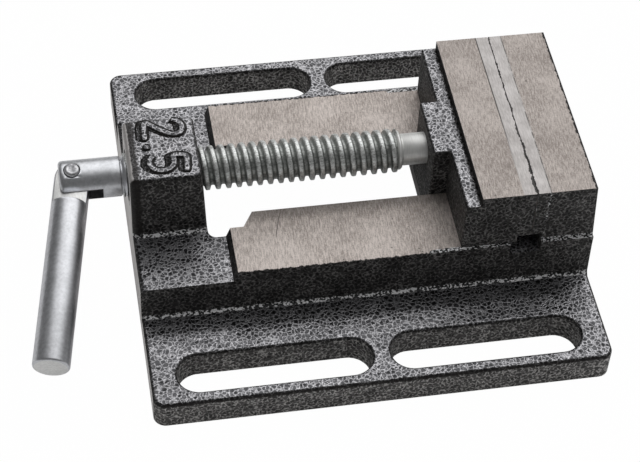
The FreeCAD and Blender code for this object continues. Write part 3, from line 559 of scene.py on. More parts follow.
def dark_rims(tree, spot, faced, worn):
    """The band of painted shade on the boss and the dark line round the flange."""
    by_end = ease(tree, plus(tree, spot.x, spot.ragged), HANDLE_END + DARK_BAND,
                  HANDLE_END + DARK_BAND - 1.1 * MM)
    # Painted shade on the boss's edge at the handle end.
    boss_rim = times(tree, by_end, ease(tree, spot.z, FLOOR_TOP, FLOOR_TOP + 1.0 * MM),
                     flip(tree, times(tree, worn, BAND_LOSS_WHERE_WORN)))
    to_side = calc(tree, "MINIMUM", less(tree, base_high.y, spot.out), less(tree, spot.x, base_low.x),
                   less(tree, base_high.x, spot.x))
    flange_rim = times(tree, ease(tree, plus(tree, to_side, spot.ragged), 0.9 * MM, 0.2 * MM),
                       ease(tree, spot.z, FLANGE_TOP - 1.2 * MM, FLANGE_TOP - 0.7 * MM),
                       ease(tree, spot.z, FLANGE_TOP + 1.0 * MM, FLANGE_TOP + 0.5 * MM))
    rims = most(tree, boss_rim, times(tree, flange_rim, FLANGE_RIM_SHARE))
    return times(tree, rims, flip(tree, faced), RIM_SHARE)


# %% [markdown]
# Three more marks are painted on the base. The slopes of the raised number and its foot
# carry painted shade. Bright specks of painted highlight lie where the front wall stands
# on the flange and the boss on the floor. And painted shade darkens the flange beside the
# walls, and painted shadow the floor beside the boss.

# %% Number, feet and painted shade bands of the base
WALL_FRONT, WALL_BACK = -34.7 * MM, -33.0 * MM
JAW_SIDE, JAW_FOOT_START = 31.75 * MM, 48.0 * MM
WALL_SHADE_TO, WALL_SHADE_UNTIL = 41.8 * MM, 60.0 * MM
BOSS_SHADOW_TO, BOSS_SHADOW_UNTIL, BOSS_SHADOW_SHARE = 27.0 * MM, -46.5 * MM, 0.7


def number_shade(tree, spot):
    """Painted shade on the slopes of the number and round its foot."""
    # Painted shade on the number's slopes and foot, mottled.
    on_number = times(tree, ease(tree, spot.x, BOSS_BACK, BOSS_BACK - 1.0 * MM),
                      ease(tree, spot.z, BOSS_TOP + 0.01 * MM, BOSS_TOP + 0.02 * MM))
    sides = most(tree, ease(tree, spot.facing_z, 0.95, 0.8),
                 ease(tree, spot.z, BOSS_TOP + 0.3 * MM, BOSS_TOP + 0.15 * MM))
    patchy = ease(tree, noise(tree, spot.place, 1400.0, 2.0), 0.4, 0.55)
    return times(tree, on_number, sides, plus(tree, 0.45, times(tree, patchy, 0.45)))


def painted_foot_highlights(tree, spot):
    """Painted highlight specks at the feet of the front wall, the boss and the fixed jaw."""
    rise = plus(tree, spot.z, spot.ragged)
    wall_foot = times(tree, ease(tree, spot.z, FLANGE_TOP, FLANGE_TOP + 0.05 * MM),
                      ease(tree, rise, FLANGE_TOP + 0.9 * MM, FLANGE_TOP + 0.65 * MM),
                      between(tree, spot.y, WALL_FRONT, WALL_BACK))
    boss_foot = times(tree, ease(tree, spot.z, FLOOR_TOP, FLOOR_TOP + 0.05 * MM),
                      ease(tree, rise, FLOOR_TOP + 1.2 * MM, FLOOR_TOP + 0.8 * MM),
                      ease(tree, spot.x, BOSS_BACK, BOSS_BACK - 1.0 * MM),
                      ease(tree, spot.y, 5.0 * MM, -5.0 * MM))
    jaw_foot = times(tree, between(tree, spot.z, WAY_HEIGHT + 0.05 * MM, WAY_HEIGHT + 0.8 * MM),
                     ease(tree, spot.x, JAW_FOOT_START, JAW_FOOT_START + 1.0 * MM),
                     ease(tree, spot.out, JAW_SIDE - 0.4 * MM, JAW_SIDE - 0.2 * MM))
    return most(tree, wall_foot, boss_foot, jaw_foot)


def painted_wall_boss_shade(tree, spot):
    """Painted shade on the flange beside the walls, and painted shadow on the floor beside the boss."""
    out = plus(tree, spot.out, times(tree, spot.ragged, 1.5))
    soft = 0.3 * MM
    # Painted shade beside the walls.
    by_wall = times(tree, ease(tree, out, WALL_SHADE_TO, WALL_SHADE_TO - 2.0 * MM),
                    between(tree, spot.z, FLANGE_TOP - soft, FLANGE_TOP + soft, soft),
                    ease(tree, spot.x, WALL_SHADE_UNTIL, WALL_SHADE_UNTIL - 8.0 * MM))
    along = plus(tree, spot.x, spot.ragged)
    # Painted shadow of the boss.
    by_boss = times(tree, ease(tree, out, BOSS_SHADOW_TO, BOSS_SHADOW_TO - 3.0 * MM),
                    between(tree, spot.z, FLOOR_TOP - soft, FLOOR_TOP + soft, soft),
                    ease(tree, along, BOSS_SHADOW_UNTIL, BOSS_SHADOW_UNTIL - 3.0 * MM))
    return most(tree, by_wall, times(tree, by_boss, BOSS_SHADOW_SHARE))


# %% Masks of the base
BASE_RAGGEDNESS = 1.6 * MM


def base_masks(tree, place, normal):
    """Give ground, edge with painted shade, milled, painted highlights and painted shade bands for the base
    and its number.
    """
    spot = survey(tree, place, normal, BASE_RAGGEDNESS)
    ground, edge, ledge = ground_faces(tree, spot)
    faced, worn = handle_end(tree, spot)
    edge = most(tree, edge, dark_rims(tree, spot, faced, worn), number_shade(tree, spot))
    # Painted highlights at the feet and on the ledge.
    highlight_specks = most(tree, painted_foot_highlights(tree, spot), ledge)
    return ground, edge, most(tree, faced, worn), highlight_specks, painted_wall_boss_shade(tree, spot)


casting_finish = cast_finish("hammered_casting", base_masks, ground_iron)
dress("base_casting", casting_finish)

# %% [markdown]
# The moving jaw is a second casting with the same paint. Only its top is ground, and a
# dark ragged band of painted shade lies on the step behind its ledge and along its foot.

# %% Masks of the moving jaw
JAW_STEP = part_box("moving_jaw")[0].x + 9.2 * MM
JAW_RAGGEDNESS, STEP_SHADE_SHARE = 2.0 * MM, 0.93


def jaw_masks(tree, place, normal):
    """Give the ground top and the painted shade at the step, and no milled, highlight or shade-band places.
    """
    spot = survey(tree, place, normal, JAW_RAGGEDNESS)
    # Painted shade on the step face and along its foot.
    near_step = ease(tree, plus(tree, spot.x, spot.ragged), JAW_STEP - 0.9 * MM, JAW_STEP - 0.3 * MM)
    step_face = ease(tree, spot.facing_x, -0.5, -0.8)
    below_top = ease(tree, spot.z, JAW_TOP - 0.05 * MM, JAW_TOP - JAW_TOP_SKIN)
    step_shade = times(tree, near_step, most(tree, spot.up, step_face), below_top, STEP_SHADE_SHARE)
    return times(tree, spot.up, spot.on_jaw_top), step_shade, 0.0, 0.0, 0.0


dress("moving_jaw", cast_finish("hammered_jaw", jaw_masks, ground_iron))

# %% [markdown]
# The jaw plates are steel, cooler in colour than the iron and ground together with the
# jaws, so they carry the same lines. Only their ends are painted. Their edges are chipped
# where they meet, and a wavy black line of painted shade marks that gap, wider at the
# front. Thinner lines of painted shade mark the seams against the jaws, and painted glints
# the seams on the painted ends.


# %% Steel of the jaw plates
def plate_steel(tree, place):
    """Give the colour and the height of ground steel."""
    lines = grinding_lines(tree, place)
    tone = plus(tree, times(tree, lines, 0.55), times(tree, noise(tree, place, 160.0, 3.0), 0.45))
    colour = mix(tree, ease(tree, tone, 0.32, 0.68), (0.43, 0.405, 0.393, 1), (0.68, 0.65, 0.637, 1))
    return colour, times(tree, lines, 0.3)


# %% Seams and chips of the jaw plates
PLATE_GAP = 46.05 * MM
JAW_SEAM, FIXED_SEAM = 42.4 * MM, 49.7 * MM
GAP_BACK, GAP_FRONT = 0.1 * MM, 0.4 * MM
GAP_WAVER, CHIP_REACH = 2.1 * MM, 1.9 * MM
SEAM_SHADE_DARKNESS, FIXED_SEAM_SHARE, END_GAP_SHARE = 0.9, 0.85, 0.6


def chipped_gap_shade(tree, place, x, y, chips):
    """Painted shade in the wavy chipped gap where the plates meet."""
    width = remap(tree, ease(tree, y, 5.0 * MM, -31.0 * MM), (0.0, 1.0), (GAP_BACK, GAP_FRONT))
    reach = plus(tree, width, times(tree, less(tree, chips, 0.5), CHIP_REACH))
    middle = less(tree, plus(tree, x, waver(tree, place, 170.0, 3.0, GAP_WAVER)), PLATE_GAP)
    return ease(tree, less(tree, calc(tree, "ABSOLUTE", middle), reach), 0.1 * MM, -0.02 * MM)


def plate_masks(tree, place, normal):
    """Bare apart from the painted ends, with painted shade in the gap and the seams against the jaws, and
    painted glints.
    """
    x, y, z = split(tree, place)
    painted = ease(tree, calc(tree, "ABSOLUTE", split(tree, normal)[1]), 0.8, 0.9)
    chips = noise(tree, stretch(tree, place, (350.0, 420.0, 350.0)), 1.0, 4.0, 0.65)
    jaw_seam = times(tree, ease(tree, x, JAW_SEAM + 0.1 * MM, JAW_SEAM - 0.1 * MM),
                     ease(tree, y, -28.0 * MM, 5.0 * MM))
    fixed_seam = times(tree, ease(tree, x, FIXED_SEAM - 0.1 * MM, FIXED_SEAM + 0.05 * MM),
                       FIXED_SEAM_SHARE, ease(tree, chips, 0.3, 0.6))
    on_top = ease(tree, z, JAW_TOP - 0.6 * MM, JAW_TOP - 0.1 * MM)
    # Painted shade in the gap and the seams.
    edge = times(tree, most(tree, chipped_gap_shade(tree, place, x, y, chips), jaw_seam, fixed_seam),
                 on_top, SEAM_SHADE_DARKNESS)
    end_seams = most(tree, between(tree, x, FIXED_SEAM - 0.3 * MM, FIXED_SEAM + 0.3 * MM),
                     times(tree, between(tree, x, PLATE_GAP - 0.05 * MM, PLATE_GAP + 0.35 * MM),
                           END_GAP_SHARE))
    # Painted glints along the seams on the painted ends.
    glints = times(tree, painted, end_seams, ease(tree, chips, 0.5, 0.6))
    return flip(tree, painted), edge, 0.0, glints, 0.0


plate_finish = cast_finish("ground_plate_steel", plate_masks, plate_steel)
for name in ("fixed_jaw_plate", "moving_jaw_plate"):
    dress(name, plate_finish)

# %% [markdown]
# The other parts are plain steel in several finishes: zinc plating on the head and the
# handle, black oxide on the screws, and dark steel as painted shade in the fork's slot.
# They differ in colour, in roughness and in the scale and direction of their marks, so one
# function makes all.


# %% Steel finishes
def steel(name, dark, light, roughness, marks_scale, metallic=0.9):
    """Steel between two colours, marked by noise with its own scale along each axis."""
    material, tree, shader, coords = new_finish(name)
    marks = noise(tree, stretch(tree, coords["Object"], marks_scale), 1.0, 3.0, 0.6)
    clouds = noise(tree, coords["Object"], 140.0, 3.0)
    tone = plus(tree, times(tree, marks, 0.6), times(tree, clouds, 0.4))
    feed(tree, shader, Base_Color=mix(tree, ease(tree, tone, 0.3, 0.7), dark, light), Metallic=metallic,
         Roughness=remap(tree, tone, (0.0, 1.0), (roughness - 0.06, roughness + 0.08)),
         Normal=bump(tree, marks, 0.2, 0.05 * MM))
    print(name, len(tree.nodes), "nodes")
    return material


zinc = steel("satin_zinc", (0.55, 0.56, 0.58, 1), (0.77, 0.78, 0.81, 1), 0.33,
             (1100.0, 1100.0, 1100.0), 1.0)
rivet_zinc = steel("hammered_zinc", (0.18, 0.18, 0.19, 1), (0.95, 0.95, 0.97, 1), 0.3,
                   (700.0, 700.0, 700.0), 1.0)
sawn_zinc = steel("sawn_zinc", (0.74, 0.74, 0.73, 1), (0.95, 0.95, 0.94, 1), 0.4,
                  (1800.0, 700.0, 1800.0), 0.8)
slot_shade = steel("slot_shade_steel", (0.1, 0.1, 0.102, 1), (0.26, 0.26, 0.265, 1), 0.5,
                   (900.0, 900.0, 900.0), 0.5)
keeper_steel = steel("keeper_steel", (0.16, 0.15, 0.15, 1), (0.30, 0.29, 0.28, 1), 0.5,
                     (300.0, 2600.0, 300.0))
black_oxide = steel("black_oxide", (0.02, 0.02, 0.022, 1), (0.05, 0.05, 0.055, 1), 0.45,
                    (900.0, 900.0, 900.0))
journal_steel = steel("satin_journal_steel", (0.75, 0.75, 0.73, 1), (0.95, 0.95, 0.93, 1), 0.4,
                      (5000.0, 400.0, 400.0), 0.5)

# %% [markdown]
# The thread is worn bright on its crests only, and its flanks are a darker grey-green.
# Crests and flanks are told apart by their distance from the screw's axis. It is taken in
# the piece's own coordinates, so the pattern turns with the screw.

# %% Thread steel
WORN_RADIUS = 5.9 * MM


def worn_thread_steel():
    """Bright worn crests over darker flanks and roots."""
    material, tree, shader, coords = new_finish("turned_screw_steel")
    _, y, z = split(tree, coords["Object"])
    marks = noise(tree, stretch(tree, coords["Object"], (900.0, 2000.0, 2000.0)), 1.0, 4.0, 0.7)
    uneven = plus(tree, from_axis(tree, y, z), times(tree, less(tree, marks, 0.5), 0.5 * MM))
    spots = ease(tree, marks, 0.36, 0.6)
    flank = mix(tree, spots, (0.22, 0.23, 0.22, 1), (0.46, 0.475, 0.46, 1))
    crest = mix(tree, spots, (0.44, 0.455, 0.44, 1), (0.9, 0.915, 0.9, 1))
    colour = mix(tree, ease(tree, uneven, WORN_RADIUS, WORN_RADIUS + 0.3 * MM), flank, crest)
    feed(tree, shader, Base_Color=colour, Metallic=0.85,
         Roughness=remap(tree, marks, (0.0, 1.0), (0.3, 0.55)),
         Normal=bump(tree, marks, 0.5, 0.08 * MM))
    return material


screw_steel = worn_thread_steel()
dress("lead_screw", screw_steel)
dress("keeper_plate", keeper_steel)
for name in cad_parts:
    if "screw_" in name or "washer" in name or "retaining" in name:
        dress(name, black_oxide)
        print("black oxide on", name)

# %% [markdown]
# The lead screw was turned from one bar: a forked head, a coarse thread and a plain end
# that runs in the moving jaw. CAD holds it with sharp crests. Here the head and the plain
# end are outlines spun round the screw's axis, and the thread is one tooth that is spun
# with a step forward at each turn, so its crests can be round. Two bisecting planes cut
# the thread to length.


# %% Helpers for pieces
def as_piece(mesh, name, body, *materials):
    """Turn a bmesh into a smooth piece that rides on a body."""
    bmesh.ops.remove_doubles(mesh, verts=mesh.verts, dist=0.5e-6)
    bmesh.ops.recalc_face_normals(mesh, faces=mesh.faces)
    for face in mesh.faces:
        face.smooth = True
    data = bpy.data.meshes.new(name)
    mesh.to_mesh(data)
    mesh.free()
    piece = bpy.data.objects.new(name, data)
    bpy.context.scene.collection.objects.link(piece)
    for material in materials:
        data.materials.append(material)
    if body:
        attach(piece, body)
    print(name, len(data.polygons), "faces")
    return piece


def outline_edges(mesh, outline, lift):
    """Draw (x, radius) points in millimetres as edges above an axis along X."""
    corners = [mesh.verts.new((x * MM, 0, lift + r * MM)) for x, r in outline]
    edges = [mesh.edges.new(pair) for pair in zip(corners, corners[1:])]
    return corners + edges


# %% Measures of the lead screw
AXIS_POINT = Vector((0, 0, AXIS_HEIGHT))
X_AXIS = Vector((1, 0, 0))
SPIN_STEPS = 48


def turned(name, outline, body, *materials):
    """Spin an (x, radius) outline round the screw's axis."""
    mesh = bmesh.new()
    bmesh.ops.spin(mesh, geom=outline_edges(mesh, outline, AXIS_HEIGHT), cent=AXIS_POINT, axis=X_AXIS,
                   dvec=(0, 0, 0), angle=math.tau, steps=SPIN_STEPS, use_merge=True, use_duplicate=False)
    return as_piece(mesh, name, body, *materials)


# %% Thread
PITCH = 3.0
ROOT, CREST = 4.98, 6.33
TOOTH = ((0.0, ROOT), (0.3, ROOT), (0.52, 5.14), (0.74, 5.85), (0.84, 6.1), (0.98, 6.27),
         (1.18, CREST), (1.82, CREST), (2.02, 6.27), (2.16, 6.1), (2.26, 5.85), (2.48, 5.14),
         (2.7, ROOT), (PITCH, ROOT))
THREAD_START, THREAD_END = -65.6, 13.0
TURN_STEPS = 36
turns = math.ceil((THREAD_END - THREAD_START) / PITCH) + 3

thread_mesh = bmesh.new()
tooth = outline_edges(thread_mesh, [(THREAD_START - 2 * PITCH + x, r) for x, r in TOOTH],
                      AXIS_HEIGHT)
bmesh.ops.spin(thread_mesh, geom=tooth, cent=AXIS_POINT, axis=X_AXIS,
               dvec=(PITCH * MM / TURN_STEPS, 0, 0), angle=math.tau * turns,
               steps=TURN_STEPS * turns, use_merge=False, use_duplicate=False)
bmesh.ops.remove_doubles(thread_mesh, verts=thread_mesh.verts, dist=0.002 * MM)
for cut_x, outwards in ((THREAD_START, -1), (THREAD_END, 1)):
    everything = thread_mesh.verts[:] + thread_mesh.edges[:] + thread_mesh.faces[:]
    bmesh.ops.bisect_plane(thread_mesh, geom=everything, plane_co=(cut_x * MM, 0, 0),
                           plane_no=(outwards, 0, 0), clear_outer=True)
open_edges = [edge for edge in thread_mesh.edges if edge.is_boundary]
bmesh.ops.holes_fill(thread_mesh, edges=open_edges, sides=0)
screw_thread = as_piece(thread_mesh, "screw_thread", "lead_screw", screw_steel)
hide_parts("lead_screw")

# %% [markdown]
# The head is a zinc-bright bar with a rounded end and a few turned rings beside the boss.
# A box cuts its fork, and a bar a little thicker than the pin cuts the hole, so a thin
# dark ring stays round the pin. Booleans suit this, because the slot meets a curved face,
# and a narrow bevel then breaks the edges. The slot's own faces get dark steel as painted
# shade.


# %% Helpers for cut pieces
SHARP_ANGLE = math.radians(32)


def apply_modifiers(piece):
    """Keep what the modifiers make as the piece's own mesh, with its corners sharp."""
    evaluated = piece.evaluated_get(bpy.context.evaluated_depsgraph_get())
    finished = bpy.data.meshes.new_from_object(evaluated)
    piece.modifiers.clear()
    piece.data = finished
    finished.set_sharp_from_angle(angle=SHARP_ANGLE)


def break_edges(piece, width):
    """Bevel the corners that the cutters left, and keep the flats flat."""
    apply_modifiers(piece)
    broken = piece.modifiers.new("broken_edges", "BEVEL")
    broken.width, broken.segments = width * MM, 2
    broken.limit_method, broken.angle_limit = "ANGLE", SHARP_ANGLE
    broken.harden_normals = True
    apply_modifiers(piece)


# %% Forked head
HEAD_END, HEAD_RADIUS = -83.3, 5.7
HEAD_NOSE = ((HEAD_END, 0.0), (HEAD_END, 4.5), (-83.22, 4.95), (-82.98, 5.35), (-82.6, 5.6))
HEAD_BAR = tuple((x, HEAD_RADIUS) for x in (-82.1, -77.0, -76.0, -74.0, -71.6, -69.0, -66.5))
HEAD_RINGS = ((-66.2, 5.6), (-66.05, 5.35), (-65.8, 5.3), (-65.3, 5.75), (-64.7, 5.95), (-64.0, 5.7),
              (-63.4, 5.2), (-63.2, 4.9), (-63.2, 0.0))
screw_head = turned("screw_head", HEAD_NOSE + HEAD_BAR + HEAD_RINGS, "lead_screw", zinc, slot_shade)

PIN_AXIS = Vector((0, 0.20791, -0.97815))
PIN_X = -79.6
PIN_PLACE = AXIS_POINT + X_AXIS * PIN_X * MM
pin_turn = X_AXIS.rotation_difference(PIN_AXIS).to_matrix().to_4x4()
SLOT_WIDTH, SLOT_END, SLOT_REACH = 4.8, -71.4, 16.0
HOLE_RADIUS, HOLE_DEPTH = 2.36, 20.0
HEAD_EDGE, HANDLE_EDGE = 0.18, 0.2

# %% Slot and hole of the fork
slot_mesh = bmesh.new()
slot_frame = Matrix((X_AXIS, PIN_AXIS.cross(X_AXIS), PIN_AXIS)).transposed().to_4x4()
slot_matrix = (Matrix.Translation(AXIS_POINT + X_AXIS * (SLOT_END - SLOT_REACH / 2) * MM) @ slot_frame
               @ Matrix.Diagonal((SLOT_REACH * MM, SLOT_REACH * MM, SLOT_WIDTH * MM, 1)))
bmesh.ops.create_cube(slot_mesh, size=1.0, matrix=slot_matrix)
hole_mesh = bmesh.new()
hole_matrix = Matrix.Translation(PIN_PLACE) @ pin_turn @ Matrix.Rotation(math.pi / 2, 4, "Y")
bmesh.ops.create_cone(hole_mesh, cap_ends=True, segments=SPIN_STEPS, radius1=HOLE_RADIUS * MM,
                      radius2=HOLE_RADIUS * MM, depth=HOLE_DEPTH * MM, matrix=hole_matrix)
for cutter_mesh, label in ((slot_mesh, "slot_cutter"), (hole_mesh, "hole_cutter")):
    cutter = as_piece(cutter_mesh, label, None)
    cut = screw_head.modifiers.new(label, "BOOLEAN")
    cut.operation, cut.solver, cut.object = "DIFFERENCE", "EXACT", cutter
break_edges(screw_head, HEAD_EDGE)
for label in ("slot_cutter", "hole_cutter"):
    bpy.data.objects.remove(bpy.data.objects[label])
# Painted shade: the slot's faces get the dark steel.
for face in screw_head.data.polygons:
    out = face.center - AXIS_POINT
    in_slot = abs(out.dot(PIN_AXIS)) < (SLOT_WIDTH / 2 + 0.02) * MM and out.x < (SLOT_END + 0.1) * MM
    if in_slot and abs(face.normal.dot(PIN_AXIS)) + abs(face.normal.x) > 0.95:
        face.material_index = 1
print("head faces:", len(screw_head.data.polygons))

# %% [markdown]
# The plain end starts with a rounded collar, runs into the jaw and has a groove in which
# two pins hold it, so that the jaw comes back with the screw. It has no sharp cut, so one
# spun outline is enough.

# %% Plain end of the screw
PLAIN_OUTLINE = ((12.6, 0.0), (12.6, 4.9), (12.85, 5.45), (13.2, 5.68), (13.6, 5.62), (13.9, 5.3),
                 (14.1, 4.75), (14.25, 4.48), (14.5, 4.48), (14.65, 4.6), (29.3, 4.6), (29.4, 4.5),
                 (29.4, 3.4), (32.6, 3.4), (32.6, 4.5), (32.7, 4.6), (35.5, 4.6), (36.0, 4.1),
                 (36.0, 0.0))
screw_journal = turned("screw_journal", PLAIN_OUTLINE, "lead_screw", journal_steel)

# %% [markdown]
# The handle is a straight bar whose end is milled to a flat tang that turns in the fork.
# The whole bar is spun from one outline, with a round nose at the pin, and two boxes mill
# the tang. The milled flats and the sawn end of the bar are brighter than its sides.

# %% Handle bar
HANDLE_LEAN = math.radians(10.8)
handle_square = Vector((0, PIN_AXIS.z, -PIN_AXIS.y))
HANDLE_WAY = handle_square * math.cos(HANDLE_LEAN) - X_AXIS * math.sin(HANDLE_LEAN)
handle_frame = Matrix((HANDLE_WAY, PIN_AXIS.cross(HANDLE_WAY), PIN_AXIS)).transposed().to_4x4()
handle_frame.translation = PIN_PLACE
BAR, BAR_END, SHOULDER, TANG = 5.1, 58.2, 8.2, 4.3
nose = [(-BAR * math.cos(turn), BAR * math.sin(turn)) for turn in
        (math.radians(angle) for angle in range(0, 91, 10))]
HANDLE_OUTLINE = nose + [(SHOULDER + 0.6, BAR), (SHOULDER + 2.0, BAR), (BAR_END - 0.7, BAR),
                         (BAR_END - 0.25, 4.95), (BAR_END, 4.55), (BAR_END, 0.0)]


def spun_in(name, outline, place, body, *materials):
    """Spin an outline about its own X axis, then set it in a place."""
    mesh = bmesh.new()
    bmesh.ops.spin(mesh, geom=outline_edges(mesh, outline, 0.0), cent=(0, 0, 0), axis=X_AXIS,
                   dvec=(0, 0, 0), angle=math.tau, steps=SPIN_STEPS, use_merge=True, use_duplicate=False)
    bmesh.ops.transform(mesh, matrix=place, verts=mesh.verts)
    return as_piece(mesh, name, body, *materials)


handle = spun_in("handle_round_bar", HANDLE_OUTLINE, handle_frame, "handle", zinc, sawn_zinc)

# %% Flat tang of the handle
CUT_LENGTH, CUT_HEIGHT = 20.0, 6.0
cutters = []
for side in (-1, 1):
    cutter_mesh = bmesh.new()
    middle = Vector((SHOULDER - CUT_LENGTH / 2, 0, side * (TANG / 2 + CUT_HEIGHT / 2))) * MM
    box = Matrix.Translation(middle) @ Matrix.Diagonal((CUT_LENGTH * MM, CUT_LENGTH * MM, CUT_HEIGHT * MM, 1))
    bmesh.ops.create_cube(cutter_mesh, size=1.0, matrix=handle_frame @ box)
    cutters.append(as_piece(cutter_mesh, "tang_cutter", None))
    mill = handle.modifiers.new("tang", "BOOLEAN")
    mill.operation, mill.solver, mill.object = "DIFFERENCE", "EXACT", cutters[-1]
break_edges(handle, HANDLE_EDGE)
for cutter in cutters:
    bpy.data.objects.remove(cutter)
for face in handle.data.polygons:
    from_middle = abs((face.center - PIN_PLACE).dot(PIN_AXIS))
    milled_flat = abs(face.normal.dot(PIN_AXIS)) > 0.98 and from_middle < (TANG / 2 + 0.02) * MM
    if milled_flat or face.normal.dot(HANDLE_WAY) > 0.98:
        face.material_index = 1
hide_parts("handle_bar")
print("handle faces:", len(handle.data.polygons))

# %% [markdown]
# The pin is a rivet. It is spun about its own axis, and its ends are upset a little, with
# a shallow dent at the top, as a hammer leaves them.

# %% Handle pin
PIN_HALF = 6.3
RIVET_TOP = ((0.22, 0.0), (0.16, 0.5), (0.02, 1.0), (0.0, 1.3), (0.08, 1.65), (0.28, 1.98), (0.6, 2.12))
RIVET_FOOT = ((0.6, 2.12), (0.28, 1.98), (0.08, 1.65), (0.0, 1.3), (0.22, 0.0))
pin_outline = ([(-PIN_HALF + inset, r) for inset, r in RIVET_TOP]
               + [(PIN_HALF - inset, r) for inset, r in RIVET_FOOT])
pin = spun_in("handle_rivet", pin_outline, Matrix.Translation(PIN_PLACE) @ pin_turn, "lead_screw",
              rivet_zinc)
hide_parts("handle_pin")

# %% [markdown]
# The size number 2.5 stands on top of the boss, cast with it and read from the handle
# end. Each stroke is a low ridge with a flat crown, sloping sides and a thin skirt of
# gathered paint round its foot. A closed section is bridged along a smooth path and
# shrunk to a point at both ends, as a pattern maker would lay a fillet of wax. On the
# real casting the slopes that face the handle end are the wide ones, so the section's foot
# is pulled out on that side.

# %% Path of the size number
NUMBER_STROKES = (
    ("number_two", ((-50.0, 10.2), (-48.7, 9.5), (-47.9, 7.9), (-48.0, 6.0), (-49.1, 4.9),
                    (-50.8, 4.8), (-52.8, 5.8), (-54.7, 7.2), (-56.4, 8.7), (-57.5, 9.7),
                    (-58.2, 9.6), (-58.5, 8.0), (-58.6, 6.0), (-58.7, 4.0))),
    ("number_point", ((-58.7, 0.5), (-58.4, 0.4))),
    ("number_five", ((-48.3, -9.0), (-48.0, -6.8), (-47.9, -4.4), (-48.5, -3.6), (-49.6, -3.4),
                     (-50.8, -3.3), (-51.6, -3.8), (-51.5, -5.2), (-51.7, -6.7), (-52.5, -8.0),
                     (-54.0, -8.8), (-55.9, -8.8), (-57.5, -7.8), (-58.3, -6.0), (-58.1, -4.4),
                     (-57.4, -3.5))),
)
PATH_STEPS = 6


def smooth_path(points):
    """Run a Catmull-Rom curve through the points."""
    ends = [2 * points[0] - points[1]] + points + [2 * points[-1] - points[-2]]
    path = []
    for before, start, end, after in zip(ends, ends[1:], ends[2:], ends[3:]):
        for step in range(PATH_STEPS):
            t = step / PATH_STEPS
            path.append(0.5 * (2 * start + (end - before) * t
                               + (2 * before - 5 * start + 4 * end - after) * t ** 2
                               + (3 * start - before - 3 * end + after) * t ** 3))
    return path + [points[-1]]


# %% Section of a stroke
SKIRT, FOOT, CROWN, RISE, SUNK = 1.45, 1.1, 0.6, 0.65, 0.3
SKIRT_RISE, FOOT_RISE = 0.03, 0.06
HANDLE_SIDE_SLOPE, BACK_SHIFT = 0.75, 0.3
SECTION = ((-SKIRT, -SUNK), (-SKIRT, SKIRT_RISE), (-FOOT, FOOT_RISE), (-0.84, 0.45), (-0.74, 0.57),
           (-CROWN, 0.63), (-0.35, RISE), (0.35, RISE), (CROWN, 0.63), (0.74, 0.57), (0.84, 0.45),
           (FOOT, FOOT_RISE), (SKIRT, SKIRT_RISE), (SKIRT, -SUNK))


def section_ring(mesh, point, along, size):
    """Draw the stroke's closed section at a point of its path."""
    across = Vector((-along.y, along.x))
    corners = []
    for side, rise in SECTION:
        spot = point + across * side * size * MM
        if rise <= FOOT_RISE:
            spot.x += min(0.0, across.x * side) * HANDLE_SIDE_SLOPE * size * MM
        if rise <= SKIRT_RISE:
            spot.y += BACK_SHIFT * size * MM
        corners.append(mesh.verts.new((spot.x, spot.y, BOSS_TOP + (rise * size if rise > 0 else rise) * MM)))
    return [mesh.edges.new(pair) for pair in zip(corners, corners[1:] + corners[:1])]


# %% Cast size number
END_STEPS = 5
END_TURN = 0.97 * math.pi / 2


def ridge(points, name):
    """Bridge sections along a path, and shrink them at both ends."""
    path = smooth_path([Vector(point) * MM for point in points])
    ways = [(after - before).normalized() for before, after in zip([path[0]] + path, path[1:] + [path[-1]])]
    ways[0] = (path[1] - path[0]).normalized()
    stations = [(point, way, 1.0) for point, way in zip(path, ways)]
    for step in range(1, END_STEPS + 1):
        turn = step / END_STEPS * END_TURN
        out, size = math.sin(turn) * FOOT * MM, math.cos(turn)
        stations.insert(0, (path[0] - ways[0] * out, ways[0], size))
        stations.append((path[-1] + ways[-1] * out, ways[-1], size))
    mesh = bmesh.new()
    rings = [section_ring(mesh, *station) for station in stations]
    for ring, following in zip(rings, rings[1:]):
        bmesh.ops.bridge_loops(mesh, edges=ring + following)
    for ring in (rings[0], rings[-1]):
        bmesh.ops.holes_fill(mesh, edges=ring, sides=0)
    piece = as_piece(mesh, name, "base", casting_finish)


for name, points in NUMBER_STROKES:
    ridge(points, name)

# %% [markdown]
# The floor is plain and pale. Seen by the camera, or in a reflection, it glows a little by
# itself, so that it reaches white without brighter lamps, and its unlit share keeps the
# soft shadow of the vise.

# %% Floor
FLOOR_REACH, FLOOR_DROP = 6.0, 0.05 * MM
SEEN_GLOW, MIRRORED_GLOW = 0.99, 0.2
floor_mesh = bmesh.new()
bmesh.ops.create_grid(floor_mesh, x_segments=1, y_segments=1, size=FLOOR_REACH,
                      matrix=Matrix.Translation((0, 0, -FLOOR_DROP)))
floor_data = bpy.data.meshes.new("floor")
floor_mesh.to_mesh(floor_data)
floor_mesh.free()
floor = bpy.data.objects.new("floor", floor_data)
bpy.context.scene.collection.objects.link(floor)

floor_material, tree, shader, coords = new_finish("pale_floor")
mottle = noise(tree, coords["Object"], 3.0)
feed(tree, shader, Base_Color=mix(tree, mottle, grey(0.86), grey(0.9)),
     Roughness=0.9, Specular_IOR_Level=0.1)
glow = put(tree, "ShaderNodeEmission", {"Color": grey(1.0), "Strength": 1.0})
rays = put(tree, "ShaderNodeLightPath").outputs
mirrored = most(tree, rays["Is Glossy Ray"], rays["Is Transmission Ray"])
share = most(tree, times(tree, rays["Is Camera Ray"], SEEN_GLOW), times(tree, mirrored, MIRRORED_GLOW))
joined = put(tree, "ShaderNodeMixShader", {0: share, 1: shader.outputs[0], 2: glow.outputs[0]})
output = next(node for node in tree.nodes if node.type == "OUTPUT_MATERIAL")
tree.links.new(joined.outputs[0], output.inputs["Surface"])
floor_data.materials.append(floor_material)
print("floor reaches", FLOOR_REACH, "m to each side")

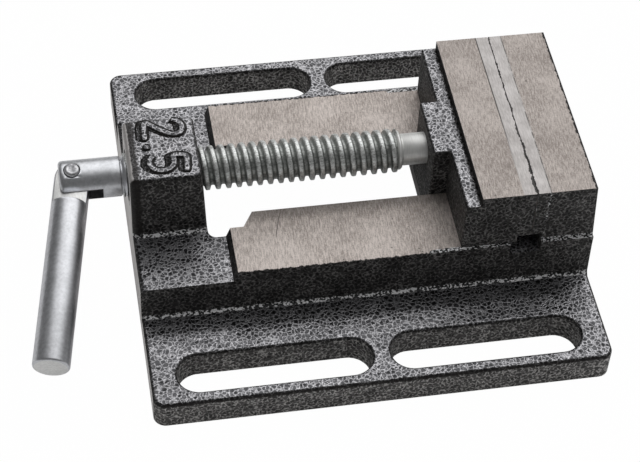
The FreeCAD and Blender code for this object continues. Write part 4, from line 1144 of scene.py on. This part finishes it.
# %% [markdown]
# Metal shows what it reflects, so the light is mostly a bright patch of sky with a soft
# halo. It stands where the camera sees it mirrored in level faces, so the ways, the jaw
# tops and the level paint shine, while upright faces mirror the dim rest of the room and
# stay dark. One broad softbox above and behind the vise adds the bright bands on the bars
# and the soft shadow. The camera itself sees plain white behind the vise.

# %% World
SKY_TOWARDS = (0.345, 0.475, 0.81)
SKY_EDGE, SKY_FULL = 0.67, 0.84
HALO_EDGE, HALO_FULL = 0.45, 0.8
ROOM_LIGHT, HALO_LIGHT, SKY_LIGHT = 0.15, 0.4, 1.08

world = bpy.data.worlds.new("studio")
bpy.context.scene.world = world
world.use_nodes = True
sky = world.node_tree
sky.nodes.clear()
direction = put(sky, "ShaderNodeTexCoord").outputs["Generated"]
facing = put(sky, "ShaderNodeVectorMath", {0: direction, 1: SKY_TOWARDS},
             operation="DOT_PRODUCT").outputs["Value"]
halo = mix(sky, ease(sky, facing, HALO_EDGE, HALO_FULL), grey(ROOM_LIGHT), grey(HALO_LIGHT))
room = mix(sky, ease(sky, facing, SKY_EDGE, SKY_FULL), halo, grey(SKY_LIGHT))
rays = put(sky, "ShaderNodeLightPath").outputs
room = mix(sky, rays["Is Camera Ray"], room, grey(1.0))
background = put(sky, "ShaderNodeBackground", {"Color": room, "Strength": 1.0})
put(sky, "ShaderNodeOutputWorld", {"Surface": background.outputs[0]})
print("world nodes:", len(sky.nodes))

# %% Softbox
SOFTBOX_PLACE, SOFTBOX_AIM = Vector((0.42, 0.6, 1.0)), Vector((0, 0, 0.02))
SOFTBOX_SIZE, SOFTBOX_WATTS = 1.3, 1.7

lamp = bpy.data.lights.new("back_softbox", "AREA")
lamp.shape = "RECTANGLE"
lamp.size, lamp.size_y = SOFTBOX_SIZE, SOFTBOX_SIZE
lamp.energy = SOFTBOX_WATTS
softbox = bpy.data.objects.new("back_softbox", lamp)
softbox.location = SOFTBOX_PLACE
softbox.rotation_euler = (SOFTBOX_AIM - SOFTBOX_PLACE).to_track_quat("-Z", "Y").to_euler()
bpy.context.scene.collection.objects.link(softbox)
print("softbox at", [round(v, 2) for v in softbox.location], "m")
